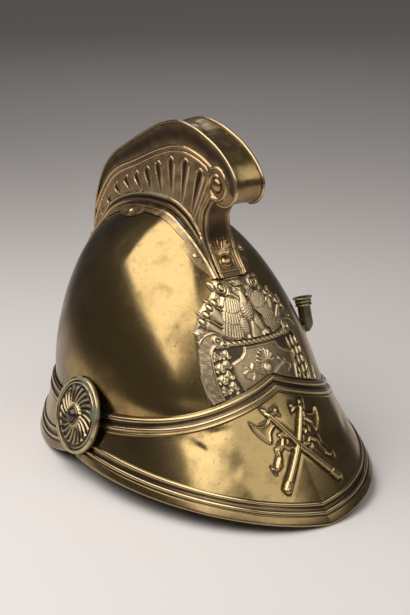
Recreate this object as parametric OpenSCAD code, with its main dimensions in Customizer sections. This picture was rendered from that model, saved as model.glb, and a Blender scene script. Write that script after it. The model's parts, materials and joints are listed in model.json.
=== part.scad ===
// Crested brass fire helmet: raised skull, crest, peak, neck guard, rosettes, plume socket and liner.
// Shapes are drawn about the upright axis of the skull: the face looks along -Y, and the wearer's
// right is -X. Angles round the skull start at the front and grow towards the wearer's right.

/* [Skull] */
// Half width of the skull
skull_half_w = 96; // [92:1:102]
// Reach of the skull in front of its axis
skull_front = 136; // [130:1:142]
// Reach of the skull behind its axis
skull_back = 125; // [119:1:131]
// Height of the top of the skull over the ground
skull_h = 199; // [192:1:206]
// Height at which the walls begin to draw in
swell_z = 61; // [58:1:64]
// Height of the lower edge of the skull
skull_base_z = 36; // [32:1:39]
// Thickness of the brass sheet
sheet = 0.9; // [0.7:0.1:1.2]

/* [Peak and neck guard] */
// Height of the point in the middle of the top edge of the peak
peak_apex_z = 92.5; // [88:0.5:96]
// Height of the top edges at the sides, under the rosettes
top_side_z = 52.5; // [50:0.5:55]
// How far the rim of the peak stands out beyond the skull at its sides
peak_flare = 11.8; // [10:0.2:14]
// Reach of the tip of the peak in front of the skull's axis
peak_tip = 191.9; // [186:0.1:197]
// Distance from the skull's axis forward to the widest place of the peak
peak_wide_y = 35.7; // [32:0.1:39]
// Height of the rims at the sides, where they arch over the ears
arch_z = 13.7; // [11:0.1:17]
// How far the rim of the neck guard stands out beyond the skull at its sides
guard_flare = 10; // [8:0.5:12]
// Reach of the neck guard behind the skull's axis
guard_reach = 146; // [141:1:152]
// Height of the top edge of the neck guard at the back
guard_top_z = 50; // [48:0.5:52]
// Height that the pressed beads stand proud of the sheet
bead_h = 1.4; // [1:0.1:1.8]
// Width of the folded strip on the rims
binding_w = 7; // [5:0.5:8]
// Thickness of the folded strip
binding_t = 0.7; // [0.5:0.1:0.9]

/* [Crest] */
// Width of the crest between its side plates
crest_w = 25; // [22:1:28]
// Rise of the crest over the top of the skull
crest_rise = 69; // [64:1:74]
// Height that the wire edges of the top band stand proud
wire_h = 1.5; // [1:0.1:2]
// Height of the hollow skirt under the side plates
skirt_h = 10; // [9:0.5:11]
// Width of the skirt beside the side plate where it meets the skull
skirt_w = 5; // [4:0.5:6]
// Width of the flange that lies on the skull
flange_w = 11; // [10:0.5:12]
// Number of pressed teardrops on each side plate
gadroons = 11; // [9:1:11]

/* [Front plate] */
// Half width of the plate on the forehead
plate_half_w = 49; // [46:1:51]
// Gap between the top of the plate and the foot of the crest's mask
plate_under_mask = 1.5; // [1:0.5:5]
// Height of the pressed relief
relief_h = 3.2; // [2.4:0.2:4]

/* [Rosettes] */
// Radius of a rosette
rosette_r = 30.4; // [28:0.2:32]
// Distance from the skull's axis forward to the middle of a rosette
rosette_y = 8; // [6:0.5:10]
// Height of the middle of a rosette
rosette_z = 46.4; // [45:0.2:48]
// Number of swirled flutes in a rosette
flutes = 22; // [20:1:26]
// How far the middle of a rosette stands out beyond its rim
rosette_dish = 3.5; // [2.5:0.5:4.5]
// Radius of the boss in the middle of a rosette
boss_r = 6; // [5:0.5:7]
// Radius of the threaded stud of a rosette
stud_r = 2.5; // [2:0.1:2.8]

/* [Plume socket] */
// Inner radius of the plume socket
socket_r = 4.6; // [4:0.1:5]
// Depth of the plume socket
socket_depth = 24; // [20:1:28]
// Wall of the plume socket
socket_wall = 0.8; // [0.6:0.1:1]

/* [Liner] */
// Height of the leather sweatband
band_h = 34; // [30:1:36]
// Thickness of the leather
leather_t = 2; // [1.6:0.1:2.4]
// Number of leather tongues over the head
tongues = 8; // [7:1:9]

/* [Fasteners] */
// Radius of the shank of a rivet
rivet_r = 1.2; // [1:0.1:1.4]
// Radius of the head of a rivet
rivet_head_r = 2.6; // [2.4:0.1:2.8]
// Gap left between pieces that lie on each other
fit_gap = 0.3; // [0.25:0.05:0.35]

/* [Hidden] */
$fn = 48;
// The skull's axis stands a little behind the middle, so that the whole helmet is centred
skull_y = (peak_tip - guard_reach) / 2;
hole_gap = 0.15;
rise = skull_h - swell_z;
peak_half_w = skull_half_w + peak_flare;
peak_reach = peak_tip - peak_wide_y;
guard_half_w = skull_half_w + guard_flare;
// Half of the gap between peak and neck guard, in which the rosette's stud passes
side_gap = stud_r + 1;

// Share of the rise of the skull, for a surface that lies `grow` outside it
function share(z, grow = 0) = min(1, max(0, (z - swell_z) / (rise + grow)));
function wall_w(z, grow = 0) = (skull_half_w + grow) * pow(1 - pow(share(z, grow), 1.6), 0.606);
// The forehead leaves the upright wall in a smooth curve over this share of the rise
brow = 0.15;
function lean(h) = h > brow ? h : h * h / brow * (2 - h / brow);
function wall_front(z, grow = 0) = (skull_front + grow) * pow(1 - lean(share(z, grow)), 0.6);
function wall_back(z, grow = 0) = (skull_back + grow) * pow(1 - pow(share(z, grow), 3.2), 0.44);
function wall_y(t, z, grow = 0) = cos(t) > 0 ? wall_front(z, grow) : wall_back(z, grow);
function skull_pt(t, z, grow = 0) = [-wall_w(z, grow) * sin(t), -wall_y(t, z, grow) * cos(t), z];

// Whether a point lies outside the skull grown by `grow`
function outside(p, grow) = p.z >= skull_h + grow ? true :
    pow(p.x / wall_w(p.z, grow), 2)
    + pow(p.y / (p.y < 0 ? wall_front(p.z, grow) : wall_back(p.z, grow)), 2) > 1;

// A fan of directions over the skull, seen from its side: 0 is the front, 90 up and 180 the back
fan_y = 5;
fan_z = swell_z + 0.43 * rise;
function fan_pt(x, a, r) = [x, fan_y - r * cos(a), fan_z + r * sin(a)];
function fan_r(x, a, grow, lo = 10, hi = 180, n = 22) = n == 0 ? (lo + hi) / 2 :
    outside(fan_pt(x, a, (lo + hi) / 2), grow)
        ? fan_r(x, a, grow, lo, (lo + hi) / 2, n - 1) : fan_r(x, a, grow, (lo + hi) / 2, hi, n - 1);
function seat(x, a, grow = 0) = fan_pt(x, a, fan_r(x, a, grow));

function unit(v) = v / norm(v);
function mix(a, b, k) = a + (b - a) * k;
function clamp01(v) = min(1, max(0, v));
function bump(d, r) = d >= r ? 0 : sqrt(1 - pow(d / r, 2));

// A smooth curve through points, with n steps between each two
function spline_at(a, b, c, d, k) = 0.5 * ((2 * b) + (c - a) * k + (2 * a - 5 * b + 4 * c - d) * k * k
    + (3 * b - a - 3 * c + d) * k * k * k);
function spline(p, n) = [for (i = [0:len(p) - 2], j = [0:n - 1])
    spline_at(p[max(0, i - 1)], p[i], p[i + 1], p[min(len(p) - 1, i + 2)], j / n), p[len(p) - 1]];
// The same curve moved to its left by d
function beside(p, d) = [for (i = [0:len(p) - 1])
    let (v = unit(p[min(len(p) - 1, i + 1)] - p[max(0, i - 1)])) p[i] + d * [-v.y, v.x]];
function backwards(p) = [for (i = [len(p) - 1:-1:0]) p[i]];

// Two triangles between four corners, split along the shorter diagonal
function split(p, a, b, c, d) = norm(p[a] - p[c]) < norm(p[b] - p[d])
    ? [[a, b, c], [a, c, d]] : [[a, b, d], [b, c, d]];
// The end of a ring that runs along one face and back along the other; it need not be flat
function bent_cap(p, m) = [for (j = [0:m / 2 - 2]) each split(p, j, j + 1, m - 2 - j, m - 1 - j)];
function flipped(faces, first) = [for (f = faces) [f[2] + first, f[1] + first, f[0] + first]];
// A solid through closed rings of the same number of points, capped at both ends
module loft(rings, bent = false) {
    m = len(rings[0]);
    n = len(rings);
    p = [for (r = rings) each r];
    polyhedron(points = p, faces = [
        each bent ? bent_cap(p, m) : [[for (j = [0:m - 1]) j]],
        for (i = [0:n - 2], j = [0:m - 1]) let (k = (j + 1) % m)
            each split(p, i * m + j, (i + 1) * m + j, (i + 1) * m + k, i * m + k),
        each bent ? flipped(bent_cap(rings[n - 1], m), (n - 1) * m)
            : [[for (j = [m - 1:-1:0]) (n - 1) * m + j]]], convexity = 10);
}
// The same, but round a closed loop of rings
module loop_loft(rings) {
    m = len(rings[0]);
    n = len(rings);
    p = [for (r = rings) each r];
    polyhedron(points = p, faces = [
        for (i = [0:n - 1], j = [0:m - 1]) let (k = (j + 1) % m, q = (i + 1) % n)
            each split(p, i * m + j, i * m + k, q * m + k, q * m + j)], convexity = 10);
}
// Turns +Z of what it holds to direction v
module aim(v) {
    rotate([0, acos(unit(v).z), atan2(v.y, v.x)]) children();
}
function skull_normal(t, z) = let (e = 0.5,
    along = skull_pt(t - e, z) - skull_pt(t + e, z),
    up = skull_pt(t, z + e) - skull_pt(t, z - e)) unit(cross(along, up));
function seat_normal(x, a) = let (e = 0.5,
    along = seat(x, a + e) - seat(x, a - e),
    over = seat(x + e, a) - seat(x - e, a)) unit(cross(over, along)) * -1;
module on_skull(t, z) {
    translate(skull_pt(t, z)) aim(skull_normal(t, z)) children();
}
module on_seat(x, a) {
    translate(seat(x, a)) aim(seat_normal(x, a)) children();
}
module placed() {
    translate([0, skull_y, 0]) children();
}
module both_sides() {
    children();
    mirror([1, 0, 0]) children();
}

// The inner head of a rivet keeps a gap that is more than the flat facets of the sheets dip
inner_head_gap = 0.7;
inner_head_h = 0.9;
outer_head_h = 1.3;
// Rivets stand with their shank through two sheets: z = 0 is the outer face of the skull
module rivet(outer, head = true, inner = sheet) {
    low = -inner - inner_head_gap - inner_head_h;
    translate([0, 0, low + inner_head_h / 2])
        cylinder(r = rivet_r, h = outer - low - inner_head_h / 2 + (head ? outer_head_h / 3 : 0));
    translate([0, 0, low]) cylinder(r1 = rivet_r + 0.5, r2 = rivet_head_r - 0.4, h = inner_head_h);
    if (head) translate([0, 0, outer + 0.1]) rotate_extrude()
        polygon([[0, 0], each [for (a = [0:15:90]) [rivet_head_r * cos(a), outer_head_h * sin(a)]]]);
}
hole_depth = 6;
module rivet_hole() {
    translate([0, 0, -hole_depth]) cylinder(r = rivet_r + hole_gap, h = 2 * hole_depth);
}
peak_rivet_t = [24, 52];
guard_rivet_t = [128, 160];
liner_rivet_t = [30, 66, 114, 150];
rivet_drop = 6.5;
liner_rivet_z = skull_base_z + 6;

// Top edge of the peak and of the neck guard, on the skull
function peak_top_z(t) = top_side_z
    + (peak_apex_z - top_side_z) * pow(max(0, 1 - abs(t) / 90), 1.4);
function guard_top(t) = mix(guard_top_z, top_side_z, pow(abs(sin(t)), 4));
peak_end = acos((rosette_y + side_gap) / skull_front);
peak_rim_end = acos((rosette_y + side_gap - peak_wide_y) / peak_reach);
guard_end = acos((rosette_y - side_gap) / skull_front);
guard_rim_end = acos((rosette_y - side_gap) / guard_reach);
arch_end = 30;
// k runs from -1 at one rosette to 1 at the other
function peak_top_pt(k) = let (t = k * peak_end) skull_pt(t, peak_top_z(t), fit_gap);
function peak_rim_pt(k) = let (t = k * peak_rim_end)
    [-peak_half_w * sin(t), -peak_wide_y - peak_reach * cos(t),
    arch_z * (1 - pow(max(0, 1 - abs(t) / 90), 2))];
function guard_top_pt(k) = let (t = 180 + k * (180 - guard_end)) skull_pt(t, guard_top(t), fit_gap);
function guard_rim_pt(k) = let (t = 180 + k * (180 - guard_rim_end),
    v = clamp01((abs(k) * (180 - guard_rim_end) - (90 - arch_end)) / arch_end))
    [-guard_half_w * sin(t), -guard_reach * cos(t), arch_z * pow(v, 2)];

// A place on a flared sheet: s up from its rim, n out from its inner face
function flare_pt(top, rim, k, s, n) = let (e = 0.01,
    up = unit(top(k) - rim(k)),
    along = mix(rim(k + e), top(k + e), 0.5) - mix(rim(k - e), top(k - e), 0.5),
    out = unit(cross(up, along))) rim(k) + s * up + n * out;
// Rings across a flared sheet, from points [s, n] that profile gives for its slant length
function flare_rings(top, rim, ks, profile) = [for (k = ks)
    [for (p = profile(norm(top(k) - rim(k)))) flare_pt(top, rim, k, p[0], p[1])]];
peak_top_fn = function(k) peak_top_pt(k);
peak_rim_fn = function(k) peak_rim_pt(k);
guard_top_fn = function(k) guard_top_pt(k);
guard_rim_fn = function(k) guard_rim_pt(k);
rim_back = binding_t + fit_gap;
// Beads of the sheet, as distances from the top edge and from the rim
top_beads = [3, 10];
rim_beads = [16.5, 9.8];
bead_half = 1.6;
function sheet_profile(len) = let (o = sheet, b = sheet + bead_h) [
    [rim_back, 0], [len, 0], [len, o],
    each [for (d = top_beads) each
        [[len - d + bead_half, o], [len - d, b], [len - d - bead_half, o]]],
    each [for (d = rim_beads) each [[d + bead_half, o], [d, b], [d - bead_half, o]]],
    [rim_back, o]];
sheet_profile_fn = function(len) sheet_profile(len);
function binding_profile(len) = let (o = sheet + fit_gap) [
    [0, -fit_gap - binding_t], [binding_w, -fit_gap - binding_t], [binding_w, -fit_gap],
    [rim_back - fit_gap, -fit_gap], [rim_back - fit_gap, o], [binding_w, o],
    [binding_w, o + binding_t], [0, o + binding_t]];
binding_profile_fn = function(len) binding_profile(len);
peak_steps = 30;
guard_steps = 20;
peak_ks = [for (i = [-peak_steps:peak_steps]) i / peak_steps];
guard_ks = [for (i = [-guard_steps:guard_steps]) i / guard_steps];

// Height of ring i of the skull, closer together towards the top, under a surface that ends at top
skull_rings = 18;
crown_flat = 0.05;
function ring_z(i, top) = let (u = (i - 1) / (skull_rings - 1)) i == 0 ? skull_base_z
    : min(top - crown_flat, mix(swell_z - 4, skull_h, 0.5 * u + 0.5 * (1 - pow(1 - u, 2.4))));
module skull_shell() color("darkgoldenrod") placed() difference() {
    loft([
        for (i = [skull_rings:-1:0]) [for (t = [0:6:354]) skull_pt(t, ring_z(i, skull_h))],
        for (i = [0:skull_rings]) [for (t = [0:6:354]) skull_pt(t, ring_z(i, skull_h - sheet), -sheet)]]);
    both_sides() {
        for (a = crest_rivet_a) on_seat(-rivet_x(a), a) rivet_hole();
        for (t = peak_rivet_t) on_skull(t, peak_top_z(t) - rivet_drop) rivet_hole();
        for (t = guard_rivet_t) on_skull(t, guard_top(t) - rivet_drop) rivet_hole();
        for (t = liner_rivet_t) on_skull(t, liner_rivet_z) rivet_hole();
        at_stud() translate([0, 0, -5]) cylinder(r = stud_r + hole_gap, h = 10);
    }
    for (p = plate_studs) on_front(p) translate([0, 0, -3]) cylinder(r = plate_stud_r + hole_gap, h = 6);
    at_socket_rivets() rivet_hole();
}

// The outline of the crest seen from its side, from the tail forward. Each point is a share of the
// skull's reach behind or before its axis, and a share of the crest's rise over the top of the skull
// or, below it, of the rise of the skull.
crest_line = [[0.952, -0.442], [0.94, -0.283], [0.896, -0.094], [0.8, 0.152], [0.672, 0.377],
    [0.468, 0.588], [0.234, 0.804], [0.086, 0.919], [-0.088, 1], [-0.239, 0.981], [-0.363, 0.919],
    [-0.485, 0.826], [-0.574, 0.717], [-0.64, 0.587], [-0.669, 0.457], [-0.654, 0.326],
    [-0.607, 0.232], [-0.544, 0.188], [-0.478, 0.196]];
// The concave front of the crest, from under the roll down to the skull
mask_line = [[-0.419, 0.225], [-0.364, 0.072], [-0.346, -0.022], [-0.36, -0.116], [-0.404, -0.196],
    [-0.456, -0.257], [-0.504, -0.308]];
volute_at = [-0.478, 0.414];
volute_r = 5.5;
function crest_pt(q) = [q[0] > 0 ? q[0] * skull_back : q[0] * skull_front,
    skull_h + q[1] * (q[1] > 0 ? crest_rise : rise)];
curve_steps = 3;
crest_edge = spline([for (q = crest_line) crest_pt(q)], curve_steps);
mask_edge = spline([for (q = mask_line) crest_pt(q)], curve_steps);
side_x = crest_w / 2;
wire_w = 2.2;
// Angles of the fan between which the skirt of the crest lies on the skull
skirt_a0 = 27;
skirt_a1 = 170;
crest_rivet_a = [43, 116, 160];
// The skirt and its flange grow from the front, and the flange has a wide lobe at each rivet
function skirt_in(a) = clamp01((a - skirt_a0) / 38);
function skirt_out(a) = clamp01((skirt_a1 - a) / 25);
function foot_x(a) = side_x + skirt_w * (0.25 + 0.75 * skirt_in(a));
function lobe(a) = max([for (b = crest_rivet_a) max(0, 1 - pow((a - b) / 14, 2))]);
function flange_at(a) = flange_w * (0.45 + 0.55 * lobe(a)) * (0.7 + 0.3 * skirt_in(a));
function rivet_x(a) = foot_x(a) + flange_at(a) * 0.55;
function skirt_low(a) = max(fan_r(side_x, a, 0) + 1.6,
    fan_r(foot_x(a), a, 0) + skirt_h * min(0.1 + 0.9 * skirt_in(a), 0.3 + 0.7 * skirt_out(a)));

module in_crest_plane(x, h) {
    translate([x, 0, 0]) rotate([90, 0, 90]) linear_extrude(h) children();
}
function fan_flat(a, r) = [fan_y - r * cos(a), fan_z + r * sin(a)];
skirt_as = [for (i = [0:35]) mix(skirt_a0, skirt_a1, i / 35)];
plate_gap = 0.15;
// Outline of a side plate: under the top band, round the roll, down behind the mask, and back
// along the top of the skirt
side_outline = concat(beside(crest_edge, wire_h + sheet + plate_gap),
    beside(mask_edge, sheet + plate_gap),
    [for (a = skirt_as) if (a > skirt_a0 + 3)
        fan_flat(a, max(fan_r(side_x, a, 0) + fit_gap, skirt_low(a) - 1.2))]);
function skirt_path(a) = let (f = foot_x(a), e = f + flange_at(a), m = (f + e) / 2,
    r = fan_r(f, a, fit_gap))
    [[side_x - 0.6 * sheet, skirt_low(a) - 0.7],
    [mix(side_x, f, 0.35), mix(skirt_low(a), r, 0.55)], [f, r],
    [m, fan_r(m, a, fit_gap)], [e, fan_r(e, a, fit_gap)]];
function skirt_ring(a) = let (inner = skirt_path(a), outer = beside(inner, sheet))
    [for (q = concat(outer, backwards(inner))) fan_pt(-q[0], a, q[1])];

// Radius of the crest's outline in the fan, from the tail to the start of the roll
roll_start = 11 * curve_steps;
crest_radii = [for (i = [roll_start:-1:0]) let (p = crest_edge[i])
    [atan2(p.y - fan_z, fan_y - p.x), norm([p.x - fan_y, p.y - fan_z])]];
function crest_r(a) = lookup(a, crest_radii);
// Plain border between the outline and the heads of the teardrops
function border(a) = lookup(a, [[66, 26], [90, 30], [115, 24], [143, 18], [160, 6], [170, 4]]);
first_gadroon_a = 66.7;
gadroon_pitch = 9.6;
function gadroon_a(i) = first_gadroon_a + gadroon_pitch * i - 0.9 * pow(max(0, i - 8), 2);
function gadroon_w(a) = lookup(a, [[66, 4.6], [110, 4.2], [143, 3], [160, 1.2]]);

// A teardrop that rises out of the plate from its lower end to its round head
module gadroon(a) {
    r = gadroon_w(a);
    low = skirt_low(a) + 1.5;
    len = crest_r(a) - border(a) - low - r;
    translate([-side_x + r / 2, fan_y, fan_z]) rotate([90 - a, 0, 0]) translate([0, 0, low])
        rotate_extrude($fn = 16) polygon([[0, 0], [r * 0.3, 0],
            each [for (b = [0:22.5:90]) [r * cos(b), len + r * sin(b)]]]);
}
// A bead pressed along the fan, at a distance above the heads of the teardrops
module border_bead(up) {
    as = [for (i = [0:24]) mix(64, 148, i / 24)];
    in_crest_plane(-side_x - 0.9, 0.9 + sheet / 2) polygon(concat(
        [for (a = as) fan_flat(a, crest_r(a) - border(a) + up + bead_half / 2)],
        backwards([for (a = as) fan_flat(a, crest_r(a) - border(a) + up - bead_half / 2)])));
}
module side_plate() {
    in_crest_plane(-side_x, sheet) polygon(side_outline);
    loft([for (a = backwards(skirt_as)) skirt_ring(a)]);
    border_bead(4);
    border_bead(8);
    intersection() {
        union() {
            for (i = [0:gadroons - 1]) gadroon(gadroon_a(i));
        }
        translate([-side_x - 10, -skull_front, 0]) cube([10 + sheet / 2, skull_front + skull_back, 400]);
    }
    translate([-side_x + 0.2, crest_pt(volute_at).x, crest_pt(volute_at).y]) rotate([0, -90, 0]) {
        cylinder(r = volute_r, h = 1.4);
        cylinder(r1 = volute_r - 1, r2 = volute_r - 3, h = 3.4);
    }
}
module crest_side() difference() {
    side_plate();
    for (a = crest_rivet_a) on_seat(-rivet_x(a), a) rivet_hole();
}
module crest_side_right() color("saddlebrown") placed() crest_side();
module crest_side_left() color("saddlebrown") placed() mirror([1, 0, 0]) crest_side();

// The top band: a channel with a wire rolled into each edge; a slot low in the roll takes a tuft
slot_l = 6;
slot_w = 3;
// The slot lies this many points of the curve before its end
slot_back = 8;
slot_at = len(crest_edge) - slot_back;
module crest_top_band() color("goldenrod") placed() difference() {
    half = side_x + plate_gap + sheet / 2;
    union() {
        in_crest_plane(-half, 2 * half)
            polygon(concat(beside(crest_edge, wire_h), backwards(beside(crest_edge, wire_h + sheet))));
        for (x = [-half, half - wire_w]) in_crest_plane(x, wire_w)
            polygon(concat(crest_edge, backwards(beside(crest_edge, wire_h + sheet / 2))));
    }
    translate([-slot_l / 2, crest_edge[slot_at].x - 5, crest_edge[slot_at].y - slot_w / 2])
        cube([slot_l, 10, slot_w]);
}

// The mask: a concave front with a bead along each side, a grenade and its flame, and a bar
grenade_r = 5.2;
flames = 7;
flame_r = 1.4;
flame_l = 8;
grenade_at = crest_pt([-0.43, -0.245]);
mask_half = side_x - sheet - plate_gap;
module crest_front_mask() color("peru") placed() {
    in_crest_plane(-mask_half, 2 * mask_half)
        polygon(concat(mask_edge, backwards(beside(mask_edge, sheet))));
    for (x = [-mask_half, mask_half - 1.8]) in_crest_plane(x, 1.8)
        polygon(concat(beside(mask_edge, -1.2), backwards(beside(mask_edge, sheet / 2))));
    intersection() {
        translate([0, grenade_at.x, grenade_at.y]) aim([0, -0.8, 0.6]) {
            sphere(grenade_r);
            for (i = [0:flames - 1]) rotate([0, 0, (i - (flames - 1) / 2) * 24])
                rotate([0, -80, 0]) translate([0, 0, grenade_r - 1]) cylinder(r1 = flame_r, r2 = flame_r * 0.43, h = flame_l);
        }
        in_crest_plane(-mask_half, 2 * mask_half)
            polygon(concat(beside(mask_edge, sheet / 2), backwards(beside(mask_edge, -grenade_r * 2))));
    }
}
module crest_rivets() color("khaki") placed() both_sides() {
    for (a = crest_rivet_a) on_seat(-rivet_x(a), a) rivet(fit_gap + sheet + 0.5);
}

// The plate on the forehead lies on the skull, from the mask down to the top edge of the peak
plate_outline = [[0, 1], [0.36, 1], [0.42, 0.9], [0.5, 0.83], [0.61, 0.78], [0.74, 0.68], [0.88, 0.49],
    [0.94, 0.28], [1, 0.05]];
plate_top_z = crest_pt(mask_line[len(mask_line) - 1]).y - plate_under_mask;
function top_turn(x) = asin(min(1, x / wall_w(mix(top_side_z, peak_apex_z, 0.5))));
function plate_low(x) = peak_top_z(top_turn(abs(x))) + 1.4;
function plate_high(x) = max(plate_low(x) + 4, peak_apex_z
    + (plate_top_z - peak_apex_z) * lookup(abs(x) / plate_half_w, plate_outline));
function front_pt(x, z, grow) = [x, -wall_front(z, grow) * sqrt(1 - pow(x / wall_w(z, grow), 2)), z];
function oval(x, z, cx, cz, rx, rz) = bump(norm([(abs(x) - cx) / rx, (z - cz) / rz]), 1);
// Height of the relief: body, wings and perch of the bird, shield with its ball, and two scrolls
function relief(x, z) = let (b = peak_apex_z, h = plate_top_z - b) relief_h * max(
    oval(x, z, 0, b + 0.65 * h, 8, 17), 0.75 * oval(x, z, 17, b + 0.68 * h, 12, 14),
    0.6 * oval(x, z, 14.6, b + 0.92 * h, 6, 6),
    abs(x) < 25 && abs(z - b - 0.37 * h) < 2.5 ? 0.6 : 0,
    abs(x) < 24 - 0.2 * (b + 5 - z) && z < b + 0.3 * h && z > b - 9 ? 0.4 : 0,
    oval(x, z, 0, b + 5, 6, 6),
    abs(norm([x, z - b - 5]) - 0.9 * plate_half_w) < 4 ? 0.35 : 0);
plate_cols = 28;
plate_rows = 20;
function plate_ring(j, grow) = let (x = mix(-plate_half_w, plate_half_w, j / plate_cols))
    [for (i = [0:plate_rows]) let (z = mix(plate_low(x), plate_high(x), i / plate_rows),
        edge = i == 0 || i == plate_rows || j == 0 || j == plate_cols)
        front_pt(x, z, grow + (grow > fit_gap && !edge ? relief(x, z) : 0))];
module front_plate() color("burlywood") placed() difference() {
    loft([for (j = [plate_cols:-1:0])
        concat(plate_ring(j, fit_gap + sheet), backwards(plate_ring(j, fit_gap)))]);
    for (p = plate_studs) on_front(p) cylinder(r = plate_stud_r, h = plate_stud_out + 0.1);
}
plate_stud_r = 1.5;
plate_stud_x = plate_half_w * 0.62;
plate_studs = [[-plate_stud_x, peak_apex_z + 5], [plate_stud_x, peak_apex_z + 5],
    [0, plate_top_z - 16]];
function turn_at(p) = -asin(p[0] / wall_w(p[1]));
module on_front(p) {
    on_skull(turn_at(p), p[1]) children();
}
nut_h = 2.4;
// Depth of a stud under the skull's outer face, and its length in the plate's blind hole
plate_stud_in = nut_h + sheet + 1.5;
plate_stud_out = fit_gap + 0.5;
module front_plate_studs() color("khaki") placed() for (p = plate_studs) on_front(p)
    translate([0, 0, -plate_stud_in]) cylinder(r = plate_stud_r - 0.05, h = plate_stud_in + plate_stud_out);
module hex_nut(r, h, bore) difference() {
    cylinder(r = r, h = h, $fn = 6);
    translate([0, 0, -1]) cylinder(r = bore, h = h + 2, $fn = 48);
}
module front_plate_nuts() color("gray") placed() for (p = plate_studs) on_front(p)
    translate([0, 0, -sheet - 0.2 - nut_h]) hex_nut(3.4, nut_h, plate_stud_r);

module flare_sheet(top, rim, ks) {
    loft(flare_rings(top, rim, ks, sheet_profile_fn));
}
// The folded strip is worn flat where the helmet stands on it
module flare_binding(top, rim, ks) difference() {
    loft(flare_rings(top, rim, ks, binding_profile_fn));
    translate([-guard_half_w * 2, -peak_tip * 2, -5]) cube([guard_half_w * 4, peak_tip * 4, 5]);
}
module peak() color("goldenrod") placed() difference() {
    flare_sheet(peak_top_fn, peak_rim_fn, backwards(peak_ks));
    both_sides() for (t = peak_rivet_t) on_skull(t, peak_top_z(t) - rivet_drop) rivet_hole();
}
module peak_edge_binding() color("gold") placed()
    flare_binding(peak_top_fn, peak_rim_fn, backwards(peak_ks));
module peak_rivets() color("khaki") placed() both_sides()
    for (t = peak_rivet_t) on_skull(t, peak_top_z(t) - rivet_drop) rivet(fit_gap + sheet, false);
module neck_guard() color("darkkhaki") placed() difference() {
    flare_sheet(guard_top_fn, guard_rim_fn, backwards(guard_ks));
    both_sides() for (t = guard_rivet_t) on_skull(t, guard_top(t) - rivet_drop) rivet_hole();
}
module neck_guard_edge_binding() color("gold") placed()
    flare_binding(guard_top_fn, guard_rim_fn, backwards(guard_ks));
module neck_guard_rivets() color("khaki") placed() both_sides()
    for (t = guard_rivet_t) on_skull(t, guard_top(t) - rivet_drop) rivet(fit_gap + sheet, false);

// The emblem lies on the peak: u runs across it to the wearer's left and s up from its rim
function peak_len() = norm(peak_top_pt(0) - peak_rim_pt(0));
function peak_k(u, s) = -u / (mix(peak_half_w * peak_rim_end, skull_half_w * peak_end,
    s / peak_len()) * PI / 180);
function on_peak(u, s, n) = flare_pt(peak_top_fn, peak_rim_fn, peak_k(u, s), s, n);
emblem_gap = 0.2;
axe_head = [17.8, 89.4];
axe_foot = [-24, 26.4];
axe_w = 1.9;
// Blades, picks and ribbons as points [u, s, half width], from the handle outwards
blade_line = [[14.2, 80, 3], [18.6, 76.6, 4.2], [23.4, 73.6, 6.4], [28, 70.6, 8.8]];
pick_line = [[16.4, 86.8, 2.4], [12, 88.2, 1.7], [7.6, 89, 2.6]];
ribbon_line = [[1.5, 65, 1.6], [7, 70, 2.6], [11.5, 69.5, 3], [13.6, 63.5, 2.8], [17, 58.5, 2.8],
    [19.3, 52.5, 2.8], [22, 47.5, 2.8], [27, 42, 2.2]];
// Lower and upper height of each over the sheet; the rear axe lies on the front one
handle_span = [0, 2];
blade_span = [0.25, 1.45];
pick_span = [0.4, 1.6];
ribbon_span = [0.15, 1.05];
front_axe_up = 0.7;
// A strip on the peak along such points, over a span of heights and raised by `up`
function strip_row(p, n, ws, h) = [for (w = ws)
    on_peak(p[0] + w * n[0] * p[2], p[1] + w * n[1] * p[2], sheet + emblem_gap + h)];
function strip_ring(p, d, span) = let (n = [-d[1], d[0]] / norm(d))
    concat(strip_row(p, n, [-1, 0, 1], span[0]), strip_row(p, n, [1, 0, -1], span[1]));
module strip(way, pts, span, up = 0) {
    q = [for (p = pts) [way * p[0], p[1], p[2]]];
    loft([for (i = [0:len(q) - 1]) let (a = q[max(0, i - 1)], b = q[min(len(q) - 1, i + 1)])
        strip_ring(q[i], [b[0] - a[0], b[1] - a[1]], span + [up, up])], true);
}
handle_line = [for (k = [0:1 / 6:1]) [each mix(axe_foot, axe_head, k), axe_w]];
module axe(way, up) {
    strip(way, handle_line, handle_span, up);
    strip(way, blade_line, blade_span, up);
    strip(way, pick_line, pick_span, up);
}
module peak_emblem() color("gold") placed() {
    axe(1, 0);
    axe(-1, front_axe_up);
    for (way = [-1, 1]) strip(way, ribbon_line, ribbon_span);
}

// Rosettes lie on the slanted side of the peak and neck guard, over the gap between the two
side_top_x = wall_w(top_side_z) + fit_gap;
side_rim_x = max(peak_half_w * sin(peak_rim_end), guard_half_w * sin(guard_rim_end));
side_tilt = atan2(side_rim_x - side_top_x, top_side_z - arch_z);
// It clears the beads of the peak and, with its upper edge, the wall of the skull
rosette_seat_x = max(side_top_x + (top_side_z - rosette_z) * tan(side_tilt)
    + (sheet + bead_h + fit_gap) / cos(side_tilt),
    wall_w(rosette_z + rosette_r * cos(side_tilt)) + fit_gap + rosette_r * sin(side_tilt));
rosette_t = 2.4;
module at_rosette() {
    translate([-rosette_seat_x, -rosette_y, rosette_z]) rotate([0, -90 + side_tilt, 0]) children();
}
flute_turn = 24;
function dish(r) = rosette_dish * (1 - pow(r / rosette_r, 2));
function flute_h(r, a) = let (v = clamp01((r - boss_r - 2) / (rosette_r - boss_r - 6)))
    1.1 + dish(r) + 1.3 * sin(180 * v) * abs(cos(flutes / 2 * (a + flute_turn * v)));
rosette_rs = [boss_r - 1.5, boss_r + 2, mix(boss_r, rosette_r, 0.35), mix(boss_r, rosette_r, 0.55),
    mix(boss_r, rosette_r, 0.72), rosette_r - 4];
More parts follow.
